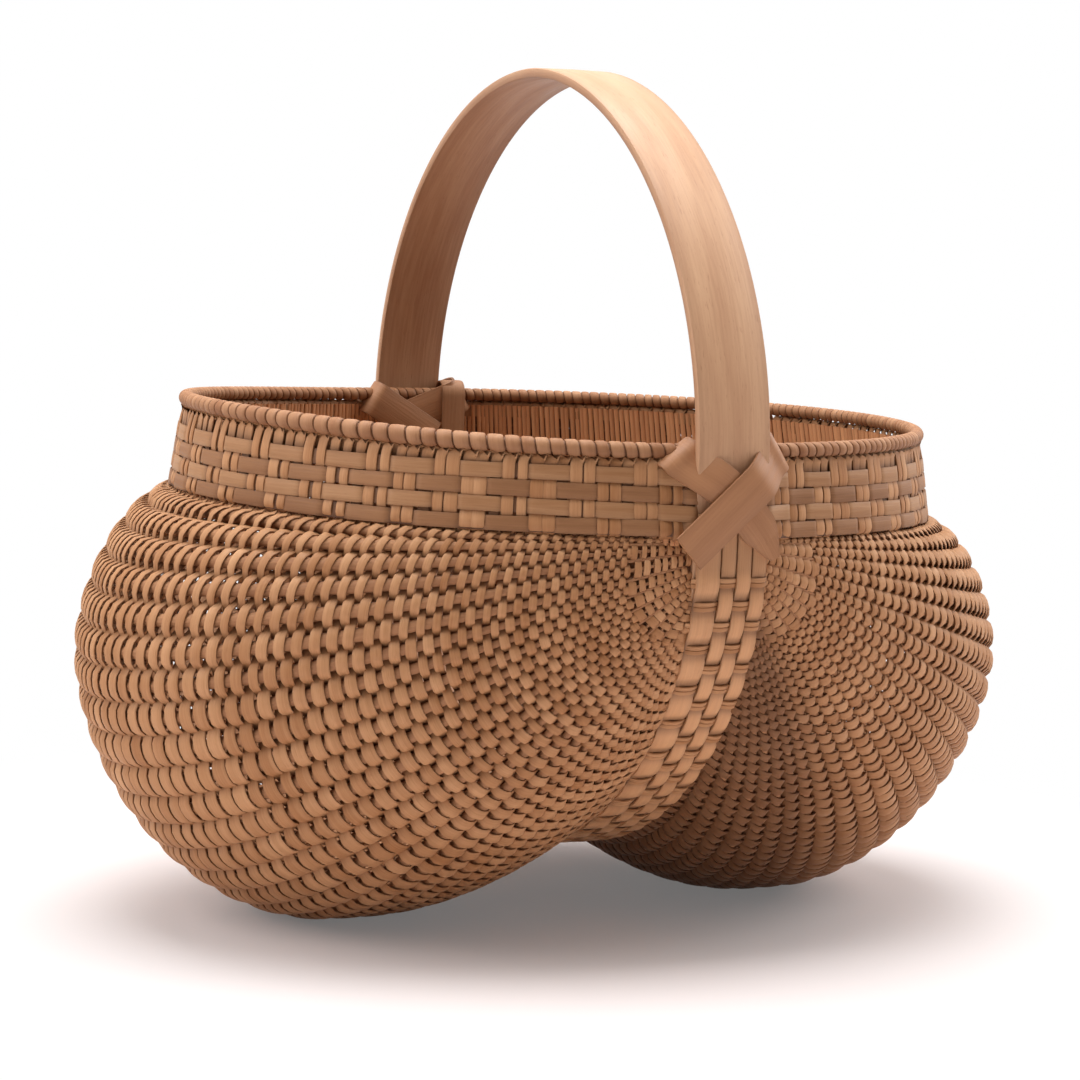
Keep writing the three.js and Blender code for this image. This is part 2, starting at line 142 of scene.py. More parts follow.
class Paint:
    """The node tree of a material or a world, built up from expressions."""

    MIX_FIRST, MIX_SECOND, MIX_RESULT = 6, 7, 2

    def __init__(self, owner: Union[bpy.types.Material, bpy.types.World]) -> None:
        """Empties the tree.

        Args:
            owner: Material or world that the tree belongs to.
        """
        owner.use_nodes = True
        self.tree = owner.node_tree
        self.tree.nodes.clear()

    def node(
        self, kind: str, settings: dict, inputs: dict, output: Union[int, str] = 0
    ) -> Union[Shade, None]:
        """Adds a node.

        Args:
            kind: Blender's name of the node's type.
            settings: Properties of the node, set before its sockets.
            inputs: Values or shades by socket name or number.
            output: Name or number of the socket to give back.

        Returns:
            The wanted output as a shade, or None from the node that ends a tree.
        """
        made = self.tree.nodes.new(kind)
        for key, value in settings.items():
            setattr(made, key, value)
        for key, value in inputs.items():
            if isinstance(value, Shade):
                self.tree.links.new(value.socket, made.inputs[key])
            else:
                made.inputs[key].default_value = value
        return Shade(self, made.outputs[output]) if made.outputs else None

    def mix(self, share: Amount, *tints: Tint) -> Shade:
        """Mixes two colours.

        Args:
            share: 0 for the first colour to 1 for the second.
            tints: The two colours.

        Returns:
            The mixed colour.
        """
        first, second = (tint if isinstance(tint, Shade) else (*tint, 1.0) for tint in tints)
        inputs = {0: share, self.MIX_FIRST: first, self.MIX_SECOND: second}
        return self.node("ShaderNodeMix", {"data_type": "RGBA"}, inputs, self.MIX_RESULT)

    def seen(self) -> Shade:
        """Tells rays that show the background from those that light the basket.

        Returns:
            1 for rays from the eye, in gloss or through glass, otherwise 0.
        """
        kinds = ("Is Camera Ray", "Is Glossy Ray", "Is Transmission Ray")
        camera, glossy, through = (self.node("ShaderNodeLightPath", {}, {}, kind) for kind in kinds)
        return camera + glossy + through

    def surface(self, shader: Shade, end: str = "ShaderNodeOutputMaterial") -> None:
        """Ends the tree with a shader as its surface."""
        self.node(end, {}, {"Surface": shader})


@dataclass(frozen=True)
class Streaks:
    """Marks drawn out along the grain.

    along is their number in a metre of the grain, fineness their number across it for each fibre.
    They fade in as the noise goes from low to high.
    """

    along: float
    fineness: float
    low: float
    high: float
    detail: float = 2.0

    def over(self, paint: Paint, grain: Shade, fibre: float) -> Shade:
        """Paints the marks.

        Args:
            paint: Paint that takes the nodes.
            grain: Place along and across the strip.
            fibre: Number of fibres in a metre across the grain.

        Returns:
            1 in the marks and 0 between them.
        """
        inputs = {0: grain, 1: (self.along, fibre * self.fineness, 1.0)}
        drawn = paint.node("ShaderNodeVectorMath", {"operation": "MULTIPLY"}, inputs)
        inputs = {"Vector": drawn, "Scale": 1.0, "Detail": self.detail}
        return paint.node("ShaderNodeTexNoise", {}, inputs).spread(self.low, self.high)


BANDS = Streaks(16.0, 1 / 7, 0.3, 0.7)
FIBRES = Streaks(55.0, 1.0, 0.3, 0.7, 4.0)
PORES = Streaks(240.0, 1.9, 0.6, 0.74)


@dataclass(frozen=True)
class OakFinish:
    """Split oak with its grain along the strip, paler or browner, with painted shade where strips
    dive under one another and along their edges.
    """

    name: str
    slot: str
    pale: Colour
    brown: Colour
    # The third colour is that of painted shade; depth, the powers and edge_shade below set how
    # strongly it is laid on.
    painted_shade: Colour
    roughness: float = 0.6
    tone_share: float = 0.5
    depth: float = 0.6
    fibre: float = 1700.0
    relief: float = 0.25
    relief_height: float = 0.25 * MM
    band_share: float = 0.6
    pore_shade: float = 0.45
    painted_shade_power: float = 1.5
    edge_power: float = 5.0
    edge_shade: float = 0.25
    fibre_height: float = 0.6
    band_height: float = 0.5
    fibre_roughness: float = 0.12
    band_polish: float = 0.08
    specular: float = 0.35
    made: dict = field(default_factory=dict, compare=False)

    def material(self) -> bpy.types.Material:
        """Material of this finish, built the first time that it is asked for.

        Returns:
            The material.
        """
        if "material" not in self.made:
            self.made["material"] = self._paint()
        return self.made["material"]

    def _paint(self) -> bpy.types.Material:
        """Builds the nodes.

        Returns:
            The finished material.
        """
        material = bpy.data.materials.new(self.name)
        paint = Paint(material)
        grain, tone_and_shade = (
            paint.node("ShaderNodeAttribute", {"attribute_name": label}, {}, "Vector")
            for label in ("grain", "tone_and_shade")
        )
        tone, lift, edge = (paint.node("ShaderNodeSeparateXYZ", {}, {0: tone_and_shade}, i) for i in range(3))
        marks = (BANDS, FIBRES, PORES)
        bands, fibres, pores = (mark.over(paint, grain, self.fibre) for mark in marks)
        rest = 1 - self.tone_share
        age = tone * self.tone_share + bands * (rest * self.band_share)
        age = age + fibres * (rest * (1 - self.band_share))
        colour = paint.mix(age, self.brown, self.pale)
        colour = paint.mix(pores * self.pore_shade, colour, self.brown)
        # Painted shade: toward the shade colour where a strip lies low in the weave, and along its
        # edges
        shadow = (1 - lift) ** self.painted_shade_power * self.depth
        shadow = shadow + edge**self.edge_power * self.edge_shade
        colour = paint.mix(shadow, colour, self.painted_shade)
        height = fibres * self.fibre_height + (bands - pores) * self.band_height
        inputs = {"Strength": self.relief, "Distance": self.relief_height, "Height": height}
        bump = paint.node("ShaderNodeBump", {}, inputs)
        rough = self.roughness + fibres * self.fibre_roughness - bands * self.band_polish
        inputs = {"Base Color": colour, "Roughness": rough, "Normal": bump}
        inputs["Specular IOR Level"] = self.specular
        paint.surface(paint.node("ShaderNodeBsdfPrincipled", {}, inputs))
        return material


WEAVER_OAK = OakFinish(
    "weaver oak", "weaver_oak", (0.63, 0.335, 0.163), (0.35, 0.142, 0.047), (0.075, 0.024, 0.007),
    depth=0.7,
)
LINING_OAK = OakFinish(
    "lining oak", "weaver_oak", (0.85, 0.43, 0.205), (0.55, 0.245, 0.11), (0.1, 0.036, 0.015),
    depth=0.8,
)
RIM_OAK = OakFinish(
    "rim oak", "rim_oak", (0.48, 0.246, 0.122), (0.27, 0.104, 0.038), (0.085, 0.029, 0.012),
    depth=0.65,
)
RIB_OAK = OakFinish(
    "rib oak", "rib_oak", (0.50, 0.245, 0.115), (0.29, 0.125, 0.055), (0.08, 0.03, 0.012),
    roughness=0.65,
)
LIGHT_SPLINT = OakFinish(
    "light splint", "light_splint", (0.47, 0.253, 0.122), (0.3, 0.13, 0.048), (0.09, 0.033, 0.014),
    roughness=0.55, tone_share=0.4, depth=0.7,
)
BROWN_SPLINT = OakFinish(
    "brown splint", "brown_splint", (0.36, 0.172, 0.075), (0.21, 0.086, 0.031), (0.08, 0.03, 0.013),
    roughness=0.58, tone_share=0.4, depth=0.7,
)
SPINE_OAK = OakFinish(
    "spine oak", "light_splint", (0.68, 0.36, 0.175), (0.48, 0.23, 0.105), (0.09, 0.033, 0.014),
    roughness=0.55, tone_share=0.35, depth=0.75,
)
STRAP_OAK = OakFinish(
    "strap oak", "strap_oak", (0.45, 0.214, 0.1), (0.35, 0.156, 0.07), (0.12, 0.045, 0.02),
    roughness=0.48, tone_share=0.2, depth=0.3, fibre=1300.0,
)
HOOP_OAK = OakFinish(
    "hoop oak", "hoop_oak", (0.66, 0.395, 0.23), (0.36, 0.155, 0.072), (0.18, 0.07, 0.03),
    roughness=0.46, tone_share=0.55, depth=0.3, fibre=1100.0, relief=0.2,
)


# Lines and strips swept along them


def unit(vectors: Array) -> Array:
    """Vectors brought to length 1."""
    return vectors / np.maximum(np.linalg.norm(vectors, axis=-1, keepdims=True), NO_LENGTH)


def signed_power(value: Number, power: Number) -> Number:
    """Power of the size of a number, with its sign kept."""
    return np.sign(value) * np.abs(value) ** power


def blend(first: Number, second: Number, share: Number) -> Number:
    """Straight blend of two numbers or arrays."""
    return first + (second - first) * share


def ramp(value: Number, start: float, end: float) -> Number:
    """0 up to the start, 1 from the end on, and straight between them."""
    return np.clip((value - start) / (end - start), 0, 1)


def smooth(share: Number) -> Number:
    """Share from 0 to 1 that leaves and arrives gently."""
    return share * share * (3 - 2 * share)


def crossing(share: Number, haste: float) -> Number:
    """Gentle way from 0 to 1, held the more to the middle of its room the greater the haste."""
    return smooth(np.clip((share - 0.5) * haste + 0.5, 0, 1))


def crowded(share: Number, amount: float) -> Number:
    """Shares from -1 to 1, drawn closer together toward both ends."""
    return share * (1 + amount * (1 - np.abs(share) ** CROWDING_POWER))


def wavy(place: Array, wave: Range, phase: float) -> Array:
    """Slow wave along a strip, given by its height and its rate."""
    return wave[0] * np.sin(place * wave[1] + phase)


def eased(values: Array, rounds: int = 2) -> Array:
    """Rounds the corners of a line of values and keeps its ends.

    Args:
        values: The values.
        rounds: Number of times that each is drawn toward its neighbours.

    Returns:
        The eased values.
    """
    values = values.copy()
    for _ in range(rounds):
        values[1:-1] = 0.25 * values[:-2] + 0.5 * values[1:-1] + 0.25 * values[2:]
    return values


def run_along(line: Array) -> Array:
    """Distance of each point of a line from its start."""
    return np.concatenate([[0.0], np.cumsum(np.linalg.norm(np.diff(line, axis=0), axis=1))])


def point_at(place: Array, run: Array, line: Array) -> Array:
    """Points of a line, or of directions along it, at given distances."""
    return np.stack([np.interp(place, run, line[:, axis]) for axis in range(3)], -1)


SPLIT = np.array([
    (-0.5, -0.45), (-0.5, 0.2), (-0.38, 0.48),
    (0.38, 0.48), (0.5, 0.2), (0.5, -0.45),
])
PILLOW = np.array([
    (-0.5, -0.4), (-0.47, 0.12), (-0.34, 0.41), (0.0, 0.5),
    (0.34, 0.41), (0.47, 0.12), (0.5, -0.4), (0.0, -0.5),
])
ROD = np.array([(-math.cos(a), math.sin(a)) for a in np.radians(np.arange(10) * 36.0)]) / 2


def flat_profile(width: float, thickness: float, bevel: float, crown: float = 0.0) -> Array:
    """Outline across a flat strip with eased edges, as shares of its width and thickness.

    Args:
        width: Width of the strip.
        thickness: Thickness of the strip.
        bevel: Size of the eased edge.
        crown: Rise of the middle of the outer face.

    Returns:
        Points from the left edge over the outer face and back.
    """
    w, t, part = width / 2, thickness / 2, EASED_CORNER * bevel
    points = [
        (-w, bevel - t), (-w, t - bevel), (part - w, t - part), (bevel - w, t), (0, t + crown),
        (w - bevel, t), (w - part, t - part), (w, t - bevel), (w, bevel - t), (w - part, part - t),
        (w - bevel, -t), (0, -t), (bevel - w, -t), (part - w, part - t),
    ]
    return np.array(points) / (width, thickness)


class StripMesh:
    """Gathers swept strips into one mesh, with the grain, the tone and the measures that its finish
    turns into painted shade.

    Each strip takes a row of the bake map, or several, with margins round its sides and its caps.
    """

    SIDE_MARGIN, ROW_MARGIN, CAP_MARGIN = 0.02, 0.06, 0.1
    CAP_INNER, CAP_OUTER = 0.012, 0.004
    GRAIN_APART = 7.3

    def __init__(self) -> None:
        """Starts with no strips."""
        self.points: list[Array] = []
        self.quads: list[Array] = []
        self.grain: list[Array] = []
        self.tone_and_shade: list[Array] = []
        self.places: list[Array] = []
        self.count = 0
        self.rows = 0
        self.strips = 0

    def sweep(
        self,
        path: Array,
        normal: Array,
        width: Number,
        thickness: Number,
        profile: Array,
        tone: Number = 0.5,
        lift: Number = 1.0,
        looped: bool = False,
        across: Union[Array, None] = None,
        rows: int = 1,
    ) -> None:
        """Adds one strip.

        Args:
            path: Points along the middle of the strip.
            normal: Direction out of the strip's outer face at each point.
            width: Width, or widths along the strip.
            thickness: Thickness, or thicknesses along it.
            profile: Outline across it, as shares of width and thickness.
            tone: How pale it is, 0 to 1: one value, or values along it, or along and round it.
            lift: How far it stands out of the weave, 0 to 1, given in the same way; the finish
                paints shade where it is low.
            looped: True if the end meets the start.
            across: Direction across the strip, where it isn't square to the path.
            rows: Number of rows that its bake map is folded into.
        """
        n, m = len(path), len(profile)
        if looped:
            along = unit(np.roll(path, -1, 0) - np.roll(path, 1, 0))
        else:
            along = unit(np.gradient(path, axis=0))
        if across is None:
            across = unit(np.cross(along, normal))
        up = unit(np.cross(across, along))
        wide = np.broadcast_to(width, n)[:, None] * profile[None, :, 0]
        thick = np.broadcast_to(thickness, n)[:, None] * profile[None, :, 1]
        ring = path[:, None] + across[:, None] * wide[..., None] + up[:, None] * thick[..., None]
        run = np.repeat(run_along(path)[:, None], m, 1)
        grain = np.stack([run, wide + thick, np.full((n, m), self.GRAIN_APART * self.strips)], -1)
        edge = np.repeat(np.abs(2 * profile[None, :, 0]), n, 0)
        tones, lifts = (
            np.broadcast_to(value if value.ndim == 2 else value.reshape(-1, 1), (n, m))
            for value in (np.asarray(tone, float), np.asarray(lift, float))
        )
        self.points.append(ring.reshape(-1, 3))
        self.grain.append(grain.reshape(-1, 3))
        # Tone, then lift and edge, which the finish turns into painted shade
        self.tone_and_shade.append(np.stack([tones, lifts, edge], -1).reshape(-1, 3))
        self._sides(n, m, n if looped else n - 1, rows)
        if not looped:
            self._caps(n, m, rows)
        self.count += n * m
        self.rows += rows
        self.strips += 1

    def _sides(self, n: int, m: int, spans: int, rows: int) -> None:
        """Adds the faces along the strip being added.

        Args:
            n: Number of points along it.
            m: Number of points round it.
            spans: Number of faces along it.
            rows: Rows of its bake map.
        """
        i, j = (g.ravel() for g in np.meshgrid(np.arange(spans), np.arange(m), indexing="ij"))
        k, nxt = (j + 1) % m, (i + 1) % n
        quads = np.stack([i * m + j, i * m + k, nxt * m + k, nxt * m + j], -1)
        self.quads.append(quads + self.count)
        per_row = math.ceil(spans / rows)
        broad, tall = 1 - 2 * self.SIDE_MARGIN, 1 - 2 * self.ROW_MARGIN
        left = self.SIDE_MARGIN + broad * (i % per_row) / per_row
        right = left + broad / per_row
        low = self.rows + i // per_row + self.ROW_MARGIN + tall * j / m
        high = low + tall / m
        corners = np.stack([left, low, left, high, right, high, right, low], -1)
        self.places.append(corners.reshape(-1, 4, 2))

    def _caps(self, n: int, m: int, rows: int) -> None:
        """Closes both ends of the strip being added.

        Args:
            n: Number of points along it.
            m: Number of points round it.
            rows: Rows of its bake map.
        """
        i = np.arange(m // 2 - 1)
        start = np.stack([m - 1 - i, m - 2 - i, i + 1, i], -1)
        end = (n - 1) * m + np.stack([i, i + 1, m - 2 - i, m - 1 - i], -1)
        self.quads.append(np.concatenate([start, end]) + self.count)
        tall = 1 - 2 * self.CAP_MARGIN
        low = self.CAP_MARGIN + tall * i / len(i)
        high = low + tall / len(i)
        inner, outer = 0 * i + self.CAP_INNER, 0 * i + self.CAP_OUTER
        first = np.stack([inner, low, inner, high, outer, high, outer, low], -1)
        first[:, 1::2] += self.rows
        last = first.copy()
        last[:, 0::2] += 1 - self.CAP_INNER - self.CAP_OUTER
        last[:, 1::2] += rows - 1
        self.places.append(np.concatenate([first, last]).reshape(-1, 4, 2))

    def build(
        self, name: str, finish: OakFinish, nodes: tuple[str, ...] = (), crease: float = 0.0
    ) -> None:
        """Makes the piece and ties it to the frame.

        Args:
            name: Name of the piece.
            finish: Its finish.
            nodes: CAD nodes that it stands for.
            crease: Angle in degrees past which an edge stays sharp, or 0 for none.
        """
        points, quads = np.concatenate(self.points), np.concatenate(self.quads)
        mesh = bpy.data.meshes.new(name)
        mesh.vertices.add(len(points))
        mesh.vertices.foreach_set("co", points.ravel())
        mesh.loops.add(quads.size)
        mesh.loops.foreach_set("vertex_index", quads.ravel())
        mesh.polygons.add(len(quads))
        mesh.polygons.foreach_set("loop_start", np.arange(0, quads.size, 4))
        mesh.update(calc_edges=True)
        mesh.polygons.foreach_set("use_smooth", np.ones(len(quads), bool))
        for label, values in (("grain", self.grain), ("tone_and_shade", self.tone_and_shade)):
            made = mesh.attributes.new(label, "FLOAT_VECTOR", "POINT")
            made.data.foreach_set("vector", np.concatenate(values).ravel())
        places = np.concatenate(self.places)
        places[..., 1] /= self.rows
        mesh.uv_layers.new(name="OFBake").data.foreach_set("uv", places.ravel())
        mesh.validate()
        if crease:
            mesh.set_sharp_from_angle(angle=math.radians(crease))
        mesh.materials.append(finish.material())
        piece = bpy.data.objects.new(name, mesh)
        bpy.context.scene.collection.objects.link(piece)
        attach(piece, "root")
        if nodes:
            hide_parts(*nodes)
        LOG.info("%s: %d faces", name, len(quads))


# Shapes that the pieces follow


@dataclass(frozen=True)
class BasketShape:
    """The two hoops and the collar between them, with lengths in metres and angles in degrees."""

    middle: float
    hoop_radius: float = 127 * MM
    hoop_width: float = 25 * MM
    hoop_thickness: float = 3.2 * MM
    handle_rise: float = 119.5 * MM
    handle_roundness: float = 1.92
    spine_height: float = 23 * MM
    rim_height: float = 164 * MM
    rim_half_length: float = 124.7 * MM
    rim_half_width: float = 119.7 * MM
    rim_radius: float = 3.8 * MM
    left_end_rise: float = 5 * MM
    ear_height: float = 134 * MM
    ear_reach: float = 126.7 * MM
    rib_roundness: float = 1.85
    rim_slim: float = 2.4 * MM
    rim_stout: float = 3.0 * MM
    stout_angle: float = 215.0
    stout_spread: float = 38.0
    collar_top: float = 159.9 * MM
    collar_bottom: float = 139.1 * MM
    collar_tilt: float = 0.018
    flare_top: float = 1 * MM
    flare_bottom: float = 4 * MM
    clearance: float = 0.3 * MM
    search_steps: int = 721

    @property
    def hoop_edge(self) -> float:
        """Distance from the hoop's middle at which the weave ends."""
        return self.hoop_width / 2 + self.clearance

    def hoop_line(self, turn: Array) -> Array:
        """Outer face of the upright hoop.

        Args:
            turn: Turns from the handle's top.

        Returns:
            Points on the middle of the band.
        """
        above = np.cos(turn) >= 0
        power = np.where(above, 2 / self.handle_roundness, 2 / self.rib_roundness)
        centre = np.where(above, self.rim_height, self.ear_height)
        rise = np.where(above, self.handle_rise, self.ear_height - self.spine_height)
        y = self.hoop_radius * signed_power(np.sin(turn), power)
        z = centre + rise * signed_power(np.cos(turn), power)
        return np.stack([np.full_like(y, self.middle), y, z], -1)

    def hoop_beside(self, point: Array, x: float) -> Array:
        """Point of the upright hoop's outer face nearest another point.

        Args:
            point: The other point.
            x: Place of the answer across the hoop.

        Returns:
            The point on the hoop.
        """
        line = self.hoop_line(np.linspace(0, FULL_TURN, self.search_steps))
        nearest = line[np.argmin(np.linalg.norm((line - point)[:, 1:], axis=1))]
        return np.array([self.middle + x, nearest[1], nearest[2]])

    def hoop_normal(self, turn: Array) -> Array:
        """Direction out of the hoop's outer face."""
        along = self.hoop_line(turn + NEARBY) - self.hoop_line(turn - NEARBY)
        return unit(np.stack([0 * turn, -along[:, 2], along[:, 1]], -1))

    def end_lift(self, x: Array) -> Array:
        """Rise of the rim toward the left end, for a distance from the middle."""
        return np.where(x < 0, self.left_end_rise, 0.0) * (x / self.rim_half_length) ** 2

    def collar_lift(self, x: Array) -> Array:
        """Rise of the collar's splints, which slope to the right, at a distance from the middle."""
        return -self.collar_tilt * x

    def stoutness(self, angle: Array) -> Array:
        """How near the rim is to its stoutest part at the front left, 0 to 1."""
        away = (angle - math.radians(self.stout_angle) + math.pi) % FULL_TURN - math.pi
        return np.exp(-((away / math.radians(self.stout_spread)) ** 2))

    def rim_girth(self, angle: Array) -> Array:
        """Outer radius of the wrapped rim."""
        return blend(self.rim_slim, self.rim_stout, self.stoutness(angle))

    def rim_middle(self, angle: Array) -> Array:
        """Height of the rim's middle line, whose top keeps one sweep however stout the rim is."""
        lift = self.end_lift(self.rim_half_length * np.cos(angle))
        return self.rim_height + self.rim_radius + lift - self.rim_girth(angle)

    def plan_line(self, angle: Array, offset: Array, height: Array) -> Array:
        """Line round the rim's plan.

        Args:
            angle: Angles from the right end.
            offset: Distance outward from the rim's middle line.
            height: Heights.

        Returns:
            Points on the line.
        """
        x = (self.rim_half_length + offset) * np.cos(angle)
        y = (self.rim_half_width + offset) * np.sin(angle)
        return np.stack([x + self.middle, y, height + 0 * x], -1)

    def plan_normal(self, angle: Array) -> Array:
        """Level direction out of the rim's plan."""
        x, y = self.rim_half_width * np.cos(angle), self.rim_half_length * np.sin(angle)
        return unit(np.stack([x, y, 0 * x], -1))

    def wound_normal(self, path: Array, angle: Array) -> Array:
        """Directions out of a strip that is wound over the rim.

        Args:
            path: Points along the strip.
            angle: Angle of each point round the rim's plan.

        Returns:
            One direction for each point.
        """
        out = self.plan_normal(angle)
        level = np.stack([-out[:, 1], out[:, 0], 0 * angle], -1)
        return unit(np.cross(np.gradient(path, axis=0), level))

    def rim_sag(self, x: Array) -> Array:
        """How far the rim's plan has drawn in at a distance along X from the middle."""
        return self.rim_half_width * (1 - np.sqrt(1 - (x / self.rim_half_length) ** 2))

    def collar_offset(self, height: Array) -> Array:
        """Outward offset of the collar's outer face at a height before its slope."""
        share = (height - self.collar_bottom) / (self.collar_top - self.collar_bottom)
        return blend(self.flare_bottom, self.flare_top, share)


@dataclass(frozen=True)
class Lobe:
    """One woven lobe: shelf under the collar, bulge, flat foot and inner side up to the spine."""

    shape: BasketShape
    side: Side
    reach: float
    bulge_height: float
    shelf_roundness: float = 1.75
    bulge_roundness: float = 1.8
    foot_spread: float = 80 * MM
    foot_flat: float = 12 * MM
    foot_cut: float = 0.5 * MM
    outer_ribs: int = 17
    inner_ribs: int = 3
    inner_rows: int = 3
    last_stage: int = 4
    search_steps: int = 801

    @property
    def name(self) -> str:
        """Lower-case name of the lobe's side."""
        return self.side.name.lower()

    @property
    def ribs(self) -> int:
        """Number of long ribs."""
        return self.outer_ribs + self.inner_ribs

    @property
    def rows(self) -> int:
        """Number of rows of the weave: one on each outer rib, and three for each inner one."""
        return self.outer_ribs + self.inner_ribs * self.inner_rows

    def row_of(self, rib: int) -> int:
        """Row of the weave that a long rib carries.

        Args:
            rib: Number of the rib, counted from the collar.

        Returns:
            Number of the row, for an inner rib the middle one of its rows.
        """
        inner = rib - self.outer_ribs
        if inner < 0:
            return rib
        return self.outer_ribs + inner * self.inner_rows + self.inner_rows // 2

    def shrink(self, turn: Array) -> Array:
        """How far the lobe has drawn in toward an ear, 1 in its middle."""
        return np.cos(turn) ** (2 / self.shape.rib_roundness)

    def turn_beside(self, gap: float) -> float:
        """Turn at which the lobe has drawn in to a gap from the hoop's edge."""
        share = (self.shape.hoop_edge + gap) / self.reach
        return math.acos(share ** (self.shape.rib_roundness / 2))

    def outer(self, stage: Array, turn: Array) -> Array:
        """Outer face of the lobe.

        Args:
            stage: Up to 1 over the shelf, 2 down the bulge, 3 over the foot and 4 to the spine.
            turn: Turn from the middle toward the back ear.

        Returns:
            Points on the face.
        """
        s = self.shape
        stage, turn = np.broadcast_arrays(np.asarray(stage, float), np.asarray(turn, float))
        shrink, share = self.shrink(turn), signed_power(np.sin(turn), 2 / s.rib_roundness)
        bulge, foot = s.ear_height - self.bulge_height, s.ear_height + self.foot_cut
        half = self.foot_flat / 2
        foot_out, foot_in = self.foot_spread + half, self.foot_spread - half
        quarter, power = np.clip(stage, 0, 1) * math.pi / 2, 2 / self.shelf_roundness
        out, up = np.sin(quarter) ** power, np.cos(quarter) ** power
        rim_x = (s.rim_half_length + s.flare_bottom) * np.sqrt(1 - share * share)
        rim_z = s.collar_bottom + s.collar_lift(self.side.value * rim_x)
        shelf_x = blend(rim_x, self.reach * shrink, out)
        shelf_y = blend((s.rim_half_width + s.flare_bottom) * share, s.ear_reach * share, out)
        shelf_z = blend(s.ear_height - bulge * shrink, rim_z, up)
        quarter, power = np.clip(stage - 1, 0, 1) * math.pi / 2, 2 / self.bulge_roundness
        reach = blend(foot_out, self.reach, np.cos(quarter) ** power)
        drop = blend(bulge, foot, np.sin(quarter) ** power)
        flat, inner = np.clip(stage - 2, 0, 1), np.clip(stage - 3, 0, 1)
        reach = np.where(stage > 2, blend(foot_out, foot_in, flat), reach)
        reach = np.where(stage > 3, blend(foot_in, s.hoop_width / 2, inner), reach)
        drop = np.where(stage > 3, blend(foot, s.ear_height - s.spine_height, inner**2), drop)
        on_shelf = stage <= 1
        x = np.where(on_shelf, shelf_x, reach * shrink)
        y = np.where(on_shelf, shelf_y, s.ear_reach * share)
        z = np.where(on_shelf, shelf_z, s.ear_height - drop * shrink)
        return np.stack([s.middle + self.side.value * x, y, z], -1)

    def normal(self, stage: Array, turn: Array) -> Array:
        """Direction out of the outer face.

        Args:
            stage: Stages, as for the face.
            turn: Turns, as for the face.

        Returns:
            One direction for each point, or zeros at the start, where a strip comes to a point.
        """
        above = np.maximum(stage - NEARBY, NEARBY)
        below = np.minimum(stage + NEARBY, self.last_stage)
        down = self.outer(below, turn) - self.outer(above, turn)
        down = np.where((below > above)[..., None], down, 0.0)
        along = self.outer(stage, turn + NEARBY) - self.outer(stage, turn - NEARBY)
        return unit(np.cross(along, down)) * -self.side.value

    def stage_of(self, row: Array) -> Array:
        """Stage of a place counted in rows down from the collar.

        Args:
            row: 0 at the first row, 1 at the second, and so on.

        Returns:
            The stages.
        """
        stages = np.linspace(0, self.last_stage, self.search_steps)
        line = self.outer(stages, 0.0)
        run = run_along(line)
        knots = [0, np.interp(2, stages, run), run[-1]]
        place = np.interp(row + 0.5, [0, self.outer_ribs, self.rows], knots)
        return np.interp(place, run, stages)


# Pieces


@dataclass
class HandleHoop:
    """Bent oak band, the handle above the rim and the spine below it, browner on its inner face."""

    shape: BasketShape
    bevel: float = 0.8 * MM
    crown: float = 0.15 * MM
    outer_tone: float = 0.85
    inner_tone: float = 0.4
    steps: int = 260
    map_rows: int = 5

    def build(self) -> None:
        """Makes the band."""
        s = self.shape
        turn = np.arange(self.steps) / self.steps * FULL_TURN
        normal = s.hoop_normal(turn)
        path = s.hoop_line(turn) - normal * s.hoop_thickness / 2
        profile = flat_profile(s.hoop_width, s.hoop_thickness, self.bevel, self.crown)
        tone = np.where(profile[None, :, 1] > 0, self.outer_tone, self.inner_tone)
        strips = StripMesh()
        strips.sweep(
            path, normal, s.hoop_width, s.hoop_thickness, profile, tone,
            looped=True, rows=self.map_rows,
        )
        strips.build("handle_band", HOOP_OAK, ("handle_hoop",), BAND_CREASE)


